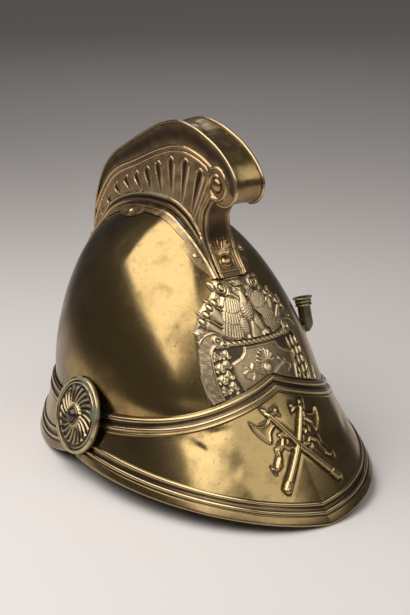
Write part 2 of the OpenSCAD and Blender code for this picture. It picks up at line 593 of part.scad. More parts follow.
module rosette() at_rosette() {
    as = [for (i = [0:flutes * 4 - 1]) i * 90 / flutes];
    loop_loft([
        [for (a = as) [(boss_r - 1.5) * cos(a), (boss_r - 1.5) * sin(a), rosette_dish * 0.9]],
        for (r = rosette_rs) [for (a = as) [r * cos(a), r * sin(a), flute_h(r, a)]],
        [for (a = as) [(rosette_r - 1.8) * cos(a), (rosette_r - 1.8) * sin(a), rosette_t]],
        [for (a = as) [rosette_r * cos(a), rosette_r * sin(a), rosette_t * 0.45]],
        [for (a = as) [(rosette_r - 0.6) * cos(a), (rosette_r - 0.6) * sin(a), 0]]]);
}
module boss() at_rosette() translate([0, 0, rosette_dish]) rotate_extrude() polygon(concat([[0, 0], [boss_r - 1.8, 0],
    [boss_r - 1.8, 1.6], [boss_r + 1, 1.6]],
    [for (a = [0:10:90]) [(boss_r + 1) * cos(a), 2.2 + (boss_r - 1.5) * sin(a)]]));
module rosette_right() color("darkgoldenrod") placed() rosette();
module rosette_left() color("darkgoldenrod") placed() mirror([1, 0, 0]) rosette();
module rosette_boss_right() color("sienna") placed() boss();
module rosette_boss_left() color("sienna") placed() mirror([1, 0, 0]) boss();
wall_x = wall_w(rosette_z) * sqrt(1 - pow(rosette_y / wall_front(rosette_z), 2));
washer_t = 1;
washer_r = stud_r * 2.2;
stud_nut_h = 3.6;
stud_in = sheet + washer_t + stud_nut_h + 3;
module at_stud() {
    translate([-wall_x, -rosette_y, rosette_z]) rotate([0, -90, 0]) children();
}
module rosette_studs() color("khaki") placed() both_sides() at_stud()
    translate([0, 0, -stud_in]) cylinder(r = stud_r, h = stud_in + rosette_seat_x - wall_x + rosette_dish * cos(side_tilt) - 0.9);
module rosette_washers() color("silver") placed() both_sides() at_stud()
    translate([0, 0, -sheet - 0.5 - washer_t]) difference() {
        cylinder(r = washer_r, h = washer_t);
        translate([0, 0, -1]) cylinder(r = stud_r + hole_gap, h = washer_t + 2);
    }
module rosette_nuts() color("gray") placed() both_sides() at_stud()
    translate([0, 0, -sheet - 0.6 - washer_t - stud_nut_h])
        hex_nut(stud_r * 1.9, stud_nut_h, stud_r + 0.05);

// The plume socket stands on the wearer's left, tilted back, on a small bracket
socket_t = -70;
socket_z = 89;
socket_lean = [-0.05, 0.23, 0.97];
socket_off = socket_r + socket_wall + 2.2;
socket_plate = [9, 22, 1];
socket_arm = [6, 8];
socket_rivet_y = 8;
collar_h = 7;
socket_foot = skull_pt(socket_t, socket_z) + socket_off * skull_normal(socket_t, socket_z);
module at_socket() {
    translate(socket_foot) aim(socket_lean) children();
}
module plume_socket_tube() color("olive") placed() at_socket() difference() {
    union() {
        cylinder(r = socket_r + socket_wall, h = socket_depth);
        translate([0, 0, -5]) cylinder(r1 = 1.4, r2 = socket_r + socket_wall, h = 5);
    }
    translate([0, 0, 0.8]) cylinder(r = socket_r, h = socket_depth);
}
module plume_socket_collar() color("darkolivegreen") placed() at_socket()
    translate([0, 0, socket_depth - collar_h]) rotate_extrude() translate([socket_r + socket_wall + 0.1, 0])
        polygon([[0, 0], [1, 0], [1.2, 1], [0.7, 1.8], [0.7, 3], [1.6, 5], [2.8, 6.6],
            [1.6, collar_h], [0, 5]]);
socket_plate_up = 0.6;
module at_socket_rivets() {
    for (y = [-socket_rivet_y, socket_rivet_y]) on_skull(socket_t, socket_z) translate([0, y, 0]) children();
}
module plume_socket_bracket() color("olive") placed() difference() {
    on_skull(socket_t, socket_z) {
        translate([-socket_plate.x / 2, -socket_plate.y / 2, socket_plate_up]) cube(socket_plate);
        translate([-socket_arm.x / 2, -socket_arm.y / 2, socket_plate_up + 0.2])
            cube([socket_arm.x, socket_arm.y, socket_off - socket_plate_up - 0.2]);
    }
    at_socket() translate([0, 0, -6])
        cylinder(r = socket_r + socket_wall + hole_gap, h = socket_depth + 12);
    at_socket_rivets() rivet_hole();
}
module plume_socket_rivets() color("khaki") placed() at_socket_rivets()
    rivet(socket_plate_up + socket_plate.z + 0.1, true, sheet + 0.4);

// The liner: a leather band inside the skull that leans inwards, and tongues over the head
band_low = skull_base_z + 3;
band_lean = 13;
function band_pt(t, z, grow) = skull_pt(t, min(z, swell_z), grow - sheet - fit_gap
    - band_lean * pow(clamp01((z - liner_rivet_z - 3) / band_h), 1.3));
module liner_sweatband() color("tan") placed() difference() {
    zs = [band_low, liner_rivet_z + 3, band_low + band_h * 0.6, band_low + band_h];
    loop_loft([for (t = [354:-6:0]) concat(
        [for (z = zs) let (p = band_pt(t, z, 0)) [p.x, p.y, z]],
        [for (z = backwards(zs)) let (p = band_pt(t, z, -leather_t)) [p.x, p.y, z]])]);
    both_sides() {
        for (t = liner_rivet_t) on_skull(t, liner_rivet_z) rivet_hole();
        for (t = guard_rivet_t) on_skull(t, guard_top(t) - rivet_drop) translate([0, 0, -leather_t - 4])
            cylinder(r = rivet_head_r + 0.5, h = leather_t + 4);
        at_stud() translate([0, 0, -stud_in - leather_t])
            cylinder(r = washer_r + 1, h = stud_in + leather_t);
    }
}
crown_z = fan_z + 22;
lace_r = 15;
lace_t = 1.2;
// A tongue starts on the inner face of the band and rises to the lace: k is the row, t the turn
tongue_rows = 10;
tongue_lap = 8;
tongue_half = 0.76 * 180 / tongues;
crown_clear = sheet + nut_h + 5;
// A point drawn in level with the ground until it lies m inside the skull
function tuck(p, m) = let (k = norm([p.x / wall_w(p.z, -m),
    p.y / (p.y < 0 ? wall_front(p.z, -m) : wall_back(p.z, -m))])) k > 1 ? [p.x / k, p.y / k, p.z] : p;
function tongue_pt(t, k, grow) = let (top = band_low + band_h, off = -1.5 * leather_t - fit_gap,
    z = k < 2 ? top - tongue_lap * (1 - k / 2) : top, p = band_pt(t, z, off),
    q = (lace_r + lace_t + fit_gap) * [-sin(t), -cos(t)], v = 90 * max(0, k - 2) / (tongue_rows - 2),
    c = tuck([mix(p.x, q.x, 1 - cos(v)), mix(p.y, q.y, 1 - cos(v)), mix(z, crown_z, sin(v))], crown_clear))
    c + grow * [-sin(t) * cos(v), -cos(t) * cos(v), sin(v)];
module tongue(t) {
    ts = [for (i = [-2:2]) t + i * tongue_half / 2];
    loft([for (k = [tongue_rows:-1:0]) concat([for (u = ts) tongue_pt(u, k, leather_t / 2)],
        [for (u = backwards(ts)) tongue_pt(u, k, -leather_t / 2)])], true);
}
module liner_crown() color("burlywood") placed()
    for (i = [0:tongues - 1]) tongue((i + 0.5) * 360 / tongues);
module liner_lace() color("black") placed()
    translate([0, 0, crown_z]) rotate_extrude() translate([lace_r, 0]) circle(lace_t);
module liner_rivets() color("khaki") placed() both_sides() for (t = liner_rivet_t)
    on_skull(t, liner_rivet_z) rivet(0.3, true, sheet + fit_gap + leather_t);

skull_shell();
crest_side_right();
crest_side_left();
crest_top_band();
crest_front_mask();
crest_rivets();
front_plate();
front_plate_studs();
front_plate_nuts();
peak();
peak_edge_binding();
peak_emblem();
peak_rivets();
neck_guard();
neck_guard_edge_binding();
neck_guard_rivets();
rosette_right();
rosette_left();
rosette_boss_right();
rosette_boss_left();
rosette_studs();
rosette_washers();
rosette_nuts();
plume_socket_tube();
plume_socket_collar();
plume_socket_bracket();
plume_socket_rivets();
liner_sweatband();
liner_crown();
liner_lace();
liner_rivets();
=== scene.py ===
import json
import math
import bpy
import numpy as np
from mathutils import Matrix, Vector
from mathutils.geometry import delaunay_2d_cdt


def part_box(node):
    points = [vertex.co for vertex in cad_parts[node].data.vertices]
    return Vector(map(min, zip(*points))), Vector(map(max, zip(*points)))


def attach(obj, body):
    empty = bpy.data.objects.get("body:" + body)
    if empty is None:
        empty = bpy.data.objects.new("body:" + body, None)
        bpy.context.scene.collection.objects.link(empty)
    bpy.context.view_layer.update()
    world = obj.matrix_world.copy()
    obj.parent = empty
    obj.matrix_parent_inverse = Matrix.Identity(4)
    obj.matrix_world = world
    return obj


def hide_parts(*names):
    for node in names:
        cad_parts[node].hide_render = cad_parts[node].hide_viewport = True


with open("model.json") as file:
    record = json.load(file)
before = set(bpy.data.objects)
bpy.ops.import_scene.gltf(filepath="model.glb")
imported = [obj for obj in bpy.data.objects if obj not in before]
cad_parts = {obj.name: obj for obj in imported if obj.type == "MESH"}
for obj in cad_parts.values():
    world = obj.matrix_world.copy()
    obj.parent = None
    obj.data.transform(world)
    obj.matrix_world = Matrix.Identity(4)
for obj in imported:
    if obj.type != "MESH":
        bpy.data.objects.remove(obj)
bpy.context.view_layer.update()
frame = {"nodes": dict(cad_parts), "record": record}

# Skull: the dome, raised from one brass sheet over stakes, polished, and dented by a century of use.
# All lengths are millimetres about its upright axis; the face looks along -Y, the right is -X, and
# angles round it start at the front and grow towards the wearer's right.
MM = 0.001
skull_low, skull_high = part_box("skull_shell")
FRONT = 136
AXIS_Y = skull_low.y / MM + FRONT
BACK = skull_high.y / MM - AXIS_Y
HALF_W = skull_high.x / MM
TOP = skull_high.z / MM
BASE = skull_low.z / MM
SWELL_Z = 61
RISE = TOP - SWELL_Z
BROW = 0.15
SIDE_CURVE = (1.6, 0.606)
BACK_CURVE = (3.2, 0.44)
FRONT_CURVE = 0.6
SHEET = 0.9
FIT = 0.3


def share(z, grow=0.0):
    return np.clip((z - SWELL_Z) / (RISE + grow), 0, 1)


def wall_w(z, grow=0.0):
    return (HALF_W + grow) * (1 - share(z, grow) ** SIDE_CURVE[0]) ** SIDE_CURVE[1]


def wall_front(z, grow=0.0):
    h = share(z, grow)
    return (FRONT + grow) * (1 - np.where(h > BROW, h, h * h / BROW * (2 - h / BROW))) ** FRONT_CURVE


def wall_back(z, grow=0.0):
    return (BACK + grow) * (1 - share(z, grow) ** BACK_CURVE[0]) ** BACK_CURVE[1]


def skull_pt(t, z, grow=0.0):
    """Points of the skull grown by grow, at turns t in degrees and heights z."""
    t, z, grow = np.broadcast_arrays(np.radians(np.asarray(t, float)), np.asarray(z, float), grow)
    length = np.where(np.cos(t) > 0, wall_front(z, grow), wall_back(z, grow))
    return np.stack([-wall_w(z, grow) * np.sin(t), -length * np.cos(t), z], -1)


def waves(p, length, seed):
    """Soft unevenness from -1 to 1, from a few crossed waves of about that length."""
    rng = np.random.default_rng(seed)
    total = np.zeros(p.shape[:-1])
    for _ in range(9):
        way = rng.normal(size=p.shape[-1])
        way *= 2 * math.pi / (np.linalg.norm(way) * length * rng.uniform(0.7, 1.5))
        total += np.sin(p @ way + rng.uniform(0, 2 * math.pi))
    return total / 9


def quads(rows, cols, closed=False):
    """Faces of a grid of points, its columns joined up when it is closed."""
    i = np.arange(rows - 1)[:, None]
    j = np.arange(cols if closed else cols - 1)[None, :]
    k = (j + 1) % cols
    return np.stack([x.ravel() for x in (i * cols + j, i * cols + k, (i + 1) * cols + k,
                                         (i + 1) * cols + j)], 1)


def part(points, *faces, relief=0.0, seam=0.0):
    """A closed mesh with the painted shade, painted highlights and wear of its hollows and high edges, and
    its dirty joints (seam).
    """
    p = np.asarray(points, float).reshape(-1, 3)
    volume = sum(np.einsum("ij,ij->", p[f[:, 0]], np.cross(p[f[:, i]], p[f[:, i + 1]]))
                 for f in faces for i in range(1, f.shape[1] - 1))
    turned = [f[:, ::-1] for f in faces] if volume < 0 else list(faces)
    fields = [np.concatenate([np.ravel(x), np.zeros(len(p) - np.size(x))]) if np.ndim(x)
              else np.full(len(p), float(x)) for x in (relief, seam)]
    return {"points": p, "faces": turned, "relief": fields[0], "seam": fields[1]}


def edge_wall(faces, n):
    """Faces along a sheet's free edges, from the n points of its face to the like points of its back."""
    edges = np.concatenate([np.stack([f, np.roll(f, -1, 1)], 2).reshape(-1, 2) for f in faces])
    free = edges[~np.isin(edges[:, 0] * n + edges[:, 1], edges[:, 1] * n + edges[:, 0])]
    return np.stack([free[:, 1], free[:, 0], free[:, 0] + n, free[:, 1] + n], 1)


def shell(outer, inner, *faces, relief=0.0, seam=0.0):
    """A sheet between two like grids of points, closed along its free edges."""
    outer = np.asarray(outer, float).reshape(-1, 3)
    inner = np.asarray(inner, float).reshape(-1, 3)
    n = len(outer)
    wall = edge_wall(faces, n)
    both = [*faces, *[f[:, ::-1] + n for f in faces]] + ([wall] if len(wall) else [])
    return part(np.concatenate([outer, inner]), *both, relief=relief, seam=seam)


def mirrored(one):
    """The same part on the wearer's other side."""
    return {**one, "points": one["points"] * [-1, 1, 1], "faces": [f[:, ::-1] for f in one["faces"]]}


def helmet_object(name, mesh, slot, *nodes):
    """An object of the helmet's one body, which stands for the CAD nodes named last."""
    obj = bpy.data.objects.new(name, mesh)
    bpy.context.scene.collection.objects.link(obj)
    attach(obj, "root")
    if nodes:
        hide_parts(*nodes)


def piece(name, parts, finish, slot, *nodes, crease=38):
    """A finished piece in its place on the helmet; edges sharper than crease degrees stay crisp."""
    points, faces, start = [], [], 0
    for one in parts:
        points.append(one["points"])
        for f in one["faces"]:
            faces += (f + start).tolist()
        start += len(one["points"])
    mesh = bpy.data.meshes.new(name)
    place = (np.concatenate(points) + [0, AXIS_Y, 0]) * MM
    mesh.from_pydata(place.tolist(), [], faces)
    for field in ("relief", "seam"):
        values = np.concatenate([one[field] for one in parts])
        mesh.attributes.new(field, "FLOAT", "POINT").data.foreach_set("value", values)
    mesh.shade_smooth()
    mesh.set_sharp_from_angle(angle=math.radians(crease))
    mesh.materials.append(finish)
    helmet_object(name, mesh, slot, *nodes)


def group(name, inputs, outputs):
    """An empty shader node group with named sockets."""
    tree = bpy.data.node_groups.new(name, "ShaderNodeTree")
    for label, kind, value in inputs:
        socket = tree.interface.new_socket(label, in_out="INPUT", socket_type=kind)
        socket.default_value = value
    for label, kind in outputs:
        tree.interface.new_socket(label, in_out="OUTPUT", socket_type=kind)
    return tree, tree.nodes.new("NodeGroupInput"), tree.nodes.new("NodeGroupOutput")


def math_node(tree, operation, a, b=0.0, clamp=False):
    """The output of a Math node; a and b are numbers or sockets."""
    node = tree.nodes.new("ShaderNodeMath")
    node.operation = operation
    node.use_clamp = clamp
    for socket, value in zip(node.inputs, (a, b)):
        if isinstance(value, (int, float)):
            socket.default_value = value
        else:
            tree.links.new(value, socket)
    return node.outputs[0]


def mix_node(tree, factor, a, b):
    """The output of a Mix node from colour a to colour b."""
    node = tree.nodes.new("ShaderNodeMix")
    node.data_type = "RGBA"
    for socket, value in ((node.inputs[0], factor), (node.inputs[6], a), (node.inputs[7], b)):
        if isinstance(value, (int, float, tuple)):
            socket.default_value = value
        else:
            tree.links.new(value, socket)
    return node.outputs[2]


def noise_node(tree, scale, detail=3.0, stretch=(1, 1, 1), distortion=0.0):
    """Noise on the object's own coordinates; scale is in cells per metre."""
    coords = tree.nodes.new("ShaderNodeTexCoord")
    mapping = tree.nodes.new("ShaderNodeMapping")
    mapping.inputs["Scale"].default_value = stretch
    noise = tree.nodes.new("ShaderNodeTexNoise")
    noise.inputs["Scale"].default_value = scale
    noise.inputs["Detail"].default_value = detail
    noise.inputs["Distortion"].default_value = distortion
    tree.links.new(coords.outputs["Object"], mapping.inputs["Vector"])
    tree.links.new(mapping.outputs[0], noise.inputs["Vector"])
    return noise.outputs[0]


def band_node(tree, value, low, high):
    """0 below low, 1 above high, and smooth between them."""
    node = tree.nodes.new("ShaderNodeMapRange")
    node.interpolation_type = "SMOOTHSTEP"
    node.inputs["From Min"].default_value = low
    node.inputs["From Max"].default_value = high
    tree.links.new(value, node.inputs["Value"])
    return node.outputs[0]


# Patina of old brass: blotches, tarnish and painted shade in hollows, rubbed edges with painted highlights,
# verdigris in the joints
patina_and_painted_light, given, result = group("old_brass_patina_and_painted_light", [
    ("Brass", "NodeSocketColor", (0.6, 0.45, 0.2, 1)), ("Tarnish", "NodeSocketColor", (0.1, 0.06, 0.03, 1)),
    ("Recess", "NodeSocketColor", (0.05, 0.032, 0.034, 1)),
    ("Age", "NodeSocketFloat", 0.4), ("Hollows", "NodeSocketFloat", 0.9), ("Green", "NodeSocketFloat", 0.5),
    ("Polish", "NodeSocketFloat", 0.22)],
    [("Color", "NodeSocketColor"), ("Roughness", "NodeSocketFloat"), ("Metallic", "NodeSocketFloat")])
relief_of = patina_and_painted_light.nodes.new("ShaderNodeAttribute")
relief_of.attribute_name = "relief"
seam_of = patina_and_painted_light.nodes.new("ShaderNodeAttribute")
seam_of.attribute_name = "seam"
clouds = band_node(patina_and_painted_light, noise_node(patina_and_painted_light, 17, 4, distortion=0.6), 0.42, 0.72)
stains = band_node(patina_and_painted_light, noise_node(patina_and_painted_light, 75, 5), 0.5, 0.75)
specks = band_node(patina_and_painted_light, noise_node(patina_and_painted_light, 420, 2), 0.6, 0.72)
blotch = math_node(patina_and_painted_light, "ADD", math_node(patina_and_painted_light, "MULTIPLY", clouds, 0.7),
                   math_node(patina_and_painted_light, "MULTIPLY", stains, 0.35))
aged = math_node(patina_and_painted_light, "MULTIPLY", math_node(patina_and_painted_light, "ADD", blotch,
                 math_node(patina_and_painted_light, "MULTIPLY", specks, 0.25)), given.outputs["Age"], clamp=True)
# Low values: tarnish and painted shade in hollows; high values: wear and painted highlights
low_part = band_node(patina_and_painted_light, math_node(patina_and_painted_light, "MULTIPLY", relief_of.outputs["Fac"], -1.0), 0.05, 0.75)
dirt_and_shade = math_node(patina_and_painted_light, "MULTIPLY", low_part, given.outputs["Hollows"])
rubbed_and_highlit = band_node(patina_and_painted_light, relief_of.outputs["Fac"], 0.2, 0.9)
bright = mix_node(patina_and_painted_light, math_node(patina_and_painted_light, "MULTIPLY", rubbed_and_highlit, 0.4), given.outputs["Brass"],
                  (0.8, 0.67, 0.42, 1))
faded = math_node(patina_and_painted_light, "MULTIPLY", aged, math_node(patina_and_painted_light, "SUBTRACT", 1.0,
                  math_node(patina_and_painted_light, "MULTIPLY", rubbed_and_highlit, 0.75)))
worn = math_node(patina_and_painted_light, "MAXIMUM", faded, dirt_and_shade, clamp=True)
metal = mix_node(patina_and_painted_light, dirt_and_shade, mix_node(patina_and_painted_light, faded, bright, given.outputs["Tarnish"]),
                 given.outputs["Recess"])
crust = band_node(patina_and_painted_light, noise_node(patina_and_painted_light, 130, 4), 0.46, 0.62)
green = math_node(patina_and_painted_light, "MULTIPLY", math_node(patina_and_painted_light, "MULTIPLY", seam_of.outputs["Fac"], crust),
                  given.outputs["Green"], clamp=True)
patina_and_painted_light.links.new(mix_node(patina_and_painted_light, green, metal, (0.17, 0.22, 0.15, 1)), result.inputs["Color"])
patina_and_painted_light.links.new(math_node(patina_and_painted_light, "ADD", math_node(patina_and_painted_light, "ADD", given.outputs["Polish"],
                 math_node(patina_and_painted_light, "MULTIPLY", worn, 0.22)), math_node(patina_and_painted_light, "MULTIPLY", green, 0.4)),
                 result.inputs["Roughness"])
patina_and_painted_light.links.new(math_node(patina_and_painted_light, "SUBTRACT", 1.0, math_node(patina_and_painted_light, "MULTIPLY", green, 0.75)),
                 result.inputs["Metallic"])

# Fine scratches of cleaning, short dents of use, and the grain of the skin of the metal
scratches, given, result = group("cleaning_scratches", [("Deep", "NodeSocketFloat", 1.0)],
                                 [("Height", "NodeSocketFloat")])
lines_a = band_node(scratches, noise_node(scratches, 1, 2, stretch=(260, 1500, 90)), 0.62, 0.7)
lines_b = band_node(scratches, noise_node(scratches, 1, 2, stretch=(1300, 160, 420)), 0.64, 0.7)
grain = noise_node(scratches, 1400, 2)
scratches.links.new(math_node(scratches, "MULTIPLY", math_node(scratches, "SUBTRACT",
                    math_node(scratches, "MULTIPLY", grain, 0.35),
                    math_node(scratches, "MULTIPLY", math_node(scratches, "ADD", lines_a, lines_b), 0.5)),
                    given.outputs["Deep"]), result.inputs["Height"])


def skinned(name, skin_tree, values, outputs):
    """A new material that takes its base colour and the like from a shader node group."""
    material = bpy.data.materials.new(name)
    material.use_nodes = True
    nodes, links = material.node_tree.nodes, material.node_tree.links
    skin = nodes.new("ShaderNodeGroup")
    skin.node_tree = skin_tree
    for label, value in values.items():
        skin.inputs[label].default_value = value
    for label, socket in outputs:
        links.new(skin.outputs[label], nodes["Principled BSDF"].inputs[socket])
    return material, skin


def roughened(material, height, strength, depth):
    """Gives a material the fine unevenness of a height, depth millimetres deep."""
    nodes, links = material.node_tree.nodes, material.node_tree.links
    bump = nodes.new("ShaderNodeBump")
    bump.inputs["Strength"].default_value = strength
    bump.inputs["Distance"].default_value = depth * MM
    links.new(height, bump.inputs["Height"])
    links.new(bump.outputs["Normal"], nodes["Principled BSDF"].inputs["Normal"])


SCRATCH_DEPTH = 0.06


def old_brass(name, brass, tarnish, age=0.4, hollows=0.9, green=0.5, polish=0.2,
              recess=(0.05, 0.032, 0.034)):
    """A brass finish made of the patina with its painted shade and painted highlights, and the scratches."""
    material, _ = skinned(name, patina_and_painted_light, {
        "Brass": (*brass, 1), "Tarnish": (*tarnish, 1), "Recess": (*recess, 1), "Age": age,
        "Hollows": hollows, "Green": green, "Polish": polish},
        (("Color", "Base Color"), ("Roughness", "Roughness"), ("Metallic", "Metallic")))
    marks = material.node_tree.nodes.new("ShaderNodeGroup")
    marks.node_tree = scratches
    roughened(material, marks.outputs["Height"], 0.35, SCRATCH_DEPTH)
    return material


skull_brass = old_brass("polished_skull_brass", (0.41, 0.29, 0.122), (0.08, 0.05, 0.018), age=0.95,
                        green=0.5, polish=0.15)
DOME_TURNS = 240
DOME_ROWS = 90
rows = np.linspace(0, 1, DOME_ROWS)
# Rows lie closer towards the top, where the dome turns in
dome_z = SWELL_Z - 4 + (TOP - 0.02 - SWELL_Z + 4) * (0.5 * rows + 0.5 * (1 - (1 - rows) ** 2.4))
dome_z = np.concatenate([np.linspace(BASE, dome_z[0], 8)[:-1], dome_z])
turns = np.linspace(0, 360, DOME_TURNS, endpoint=False)
turn_grid, z_grid = np.meshgrid(turns, dome_z)
flat_dome = skull_pt(turn_grid, z_grid)
# Dents: turn, height, radius and depth of each
dents = [(112, 128, 15, 0.5), (75, 82, 9, 0.35), (52, 158, 12, 0.3), (-48, 110, 14, 0.5), (160, 120, 18, 0.6),
         (205, 90, 12, 0.5), (-118, 140, 16, 0.45), (96, 168, 10, 0.3)]
hammer = 0.1 * waves(flat_dome, 46, 3) + 0.03 * waves(flat_dome, 17, 4)
for turn, height, reach, depth in dents:
    gap = np.linalg.norm(flat_dome - skull_pt(turn, height), axis=-1)
    hammer -= depth * np.exp(-(gap / reach) ** 2)
calm = np.clip((z_grid - BASE) / 20, 0, 1) * np.clip((TOP - z_grid) / 8, 0, 1)
out = hammer * calm - 0.1
outer = skull_pt(turn_grid, z_grid, out)
inner = skull_pt(turn_grid, np.minimum(z_grid, TOP - SHEET - 0.3), -SHEET)
outer, inner = [np.concatenate([g.reshape(-1, 3), [[0, 0, g[-1, 0, 2]]]]) for g in (outer, inner)]
last = (len(dome_z) - 1) * DOME_TURNS + np.arange(DOME_TURNS)
cap = np.stack([last, np.roll(last, -1), np.full(DOME_TURNS, len(outer) - 1)], 1)
dome_edge = np.clip(1 - np.abs(z_grid - BASE) / 2, 0, 1)
# The wearer's right, towards the back, is painted darker and browner, as painted shade
painted_side_shade = np.exp(-((turn_grid - 128) / 42) ** 2) * np.clip((z_grid - BASE) / 12, 0, 1)
painted_side_shade *= 1 + 0.5 * waves(flat_dome, 34, 5)
piece("skull_dome", [shell(outer, inner, quads(len(dome_z), DOME_TURNS, True), cap,
                           relief=np.append(dome_edge - 0.42 * painted_side_shade, 0))],
      skull_brass, "raised_brass", "skull_shell", crease=60)

# Crest sides: two plates beaten over a mould, each with a fan of hollow teardrops between beads, a
# scroll boss in the roll, and a coved skirt whose flange is riveted to the skull.
CREST_HALF = 12.5
CREST_RISE = 69
WIRE_H = 1.5
PLATE_GAP = 0.15
FAN_Y = 5
FAN_Z = SWELL_Z + 0.43 * RISE
SKIRT_FROM, SKIRT_TO = 27, 170
CREST_RIVETS = (43, 116, 160)
WORK_DEPTH = 3.6
crest_line = [[0.952, -0.442], [0.94, -0.283], [0.896, -0.094], [0.8, 0.152], [0.672, 0.377],
              [0.468, 0.588], [0.234, 0.804], [0.086, 0.919], [-0.088, 1], [-0.239, 0.981],
              [-0.363, 0.919], [-0.485, 0.826], [-0.574, 0.717], [-0.64, 0.587], [-0.669, 0.457],
              [-0.654, 0.326], [-0.607, 0.232], [-0.544, 0.188], [-0.478, 0.196]]
mask_line = [[-0.419, 0.225], [-0.364, 0.072], [-0.346, -0.022], [-0.36, -0.116], [-0.404, -0.196],
             [-0.456, -0.257], [-0.504, -0.308]]


def crest_pt(q):
    """A point of the side view, y and z, from shares of the skull's reach and rise."""
    return np.array([q[0] * (BACK if q[0] > 0 else FRONT), TOP + q[1] * (CREST_RISE if q[1] > 0 else RISE)])


def spline(points, steps):
    """A smooth curve through points."""
    p = np.asarray(points, float)
    rows = []
    for i in range(len(p) - 1):
        a, b, c, d = p[max(0, i - 1)], p[i], p[i + 1], p[min(len(p) - 1, i + 2)]
        for k in np.arange(steps) / steps:
            rows.append(0.5 * (2 * b + (c - a) * k + (2 * a - 5 * b + 4 * c - d) * k ** 2
                               + (3 * b - a - 3 * c + d) * k ** 3))
    return np.array([*rows, p[-1]])


def run_along(path):
    """How far along a line each of its points is."""
    return np.concatenate([[0], np.cumsum(np.linalg.norm(np.diff(path, axis=0), axis=1))])


def looped(outline):
    """An outline with its first point again at its end."""
    return np.vstack([outline, outline[:1]])


def resampled(path, step):
    """The same line with points about step apart, ends kept."""
    path = np.asarray(path, float)
    run = run_along(path)
    at = np.linspace(0, run[-1], max(2, int(round(run[-1] / step)) + 1))
    return np.stack([np.interp(at, run, path[:, i]) for i in range(path.shape[1])], 1)


def beside(path, d):
    """The line moved d to its left."""
    way = np.gradient(path, axis=0)
    way /= np.linalg.norm(way, axis=1)[:, None]
    return path + d * np.stack([-way[:, 1], way[:, 0]], 1)


def fan_flat(a, r):
    """Places in the side view, y and z, at angles a and radii r about the fan's centre."""
    a = np.radians(a)
    return np.stack([FAN_Y - r * np.cos(a), FAN_Z + r * np.sin(a)], -1)


def fan_r(x, a, grow=0.0):
    """Distance from the fan's centre to the skull grown by grow, at x and angle a."""
    x, a, grow = np.broadcast_arrays(np.asarray(x, float), np.asarray(a, float), grow)
    low, high = np.full(x.shape, 10.0), np.full(x.shape, 180.0)
    for _ in range(26):
        r = (low + high) / 2
        y, z = np.moveaxis(fan_flat(a, r), -1, 0)
        over = z >= TOP + grow
        safe = np.minimum(z, TOP + grow - 1e-6)
        length = np.where(y < 0, wall_front(safe, grow), wall_back(safe, grow))
        over |= (x / wall_w(safe, grow)) ** 2 + (y / length) ** 2 > 1
        low, high = np.where(over, low, r), np.where(over, r, high)
    return (low + high) / 2


def segments_gap(p, path):
    """Distance of points to a line, and how far along it (0 to 1) the nearest place is."""
    path = np.asarray(path, float)
    best = np.full(len(p), 1e9)
    along = np.zeros(len(p))
    run = run_along(path)
    for i in range(len(path) - 1):
        a, b = path[i], path[i + 1]
        k = np.clip((p - a) @ (b - a) / max(1e-9, (b - a) @ (b - a)), 0, 1)
        d = np.linalg.norm(p - a - k[:, None] * (b - a), axis=1)
        near = d < best
        best = np.where(near, d, best)
        along = np.where(near, (run[i] + k * (run[i + 1] - run[i])) / run[-1], along)
    return best, along


def rounded(gap, half):
    """A round swelling: 1 where the gap is 0, and 0 from a gap of half on."""
    return np.sqrt(np.clip(1 - (gap / half) ** 2, 0, 1))


def ridge(p, path, half):
    """A rounded ridge along a line; half may be two widths, at its start and its end."""
    gap, along = segments_gap(p, path)
    wide = half if np.ndim(half) == 0 else half[0] + (half[1] - half[0]) * along
    return rounded(gap, wide)


def inside(p, outline):
    """Which points lie inside a closed outline."""
    odd = np.zeros(len(p), bool)
    for a, b in zip(outline, np.roll(outline, -1, 0)):
        cross = (a[1] > p[:, 1]) != (b[1] > p[:, 1])
        at = a[0] + (p[:, 1] - a[1]) * (b[0] - a[0]) / (b[1] - a[1] if b[1] != a[1] else 1e-9)
        odd ^= cross & (p[:, 0] < at)
    return odd


def edge_gap(p, outline):
    """Distance outside a closed outline, negative inside it."""
    gap, _ = segments_gap(p, looped(outline))
    return np.where(inside(p, outline), -gap, gap)


TRIANGLE_ROW = 0.866


def panel(outline, step, holes=(), fill_step=None, busy=None, fine=None):
    """Points and triangles that fill a flat outline, its edges cut at step and its inside at fill_step,
    or at fine inside the outline busy."""
    fill_step = fill_step or step
    loops = [resampled(looped(loop), step)[:-1] for loop in (outline, *holes)]
    low, high = loops[0].min(0), loops[0].max(0)

    def grid(width):
        gx, gy = np.meshgrid(np.arange(low[0], high[0], width),
                             np.arange(low[1], high[1], width * TRIANGLE_ROW))
        gx[1::2] += width / 2
        return np.stack([gx.ravel(), gy.ravel()], 1)

    fill = grid(fill_step)
    if busy is not None:
        close = grid(fine)
        fill = np.vstack([fill[edge_gap(fill, busy) > fine * 0.6], close[inside(close, busy)]])
    keep = inside(fill, loops[0])
    for loop in loops[1:]:
        keep &= ~inside(fill, loop)
    fill = fill[keep]
    for loop in loops:
        gap, _ = segments_gap(fill, looped(loop))
        fill = fill[gap > step * 0.55]
    points = np.vstack([*loops, fill])
    rings, start = [], 0
    for loop in loops:
        rings += [(start + i, start + (i + 1) % len(loop)) for i in range(len(loop))]
        start += len(loop)
    found = delaunay_2d_cdt([Vector(q) for q in points], rings, [], 2, 1e-5)
    p = np.array([tuple(v) for v in found[0]])
    return p, np.array([tuple(f) for f in found[2] if len(f) == 3])


def slab(front, triangles, back, back_triangles, relief=0.0, seam=0.0):
    """A plate with a fine face and a coarse back, whose edge points are the first of both."""
    n = len(front)
    return part(np.concatenate([front, back]), triangles, back_triangles[:, ::-1] + n,
                edge_wall([triangles], n), relief=relief, seam=seam)


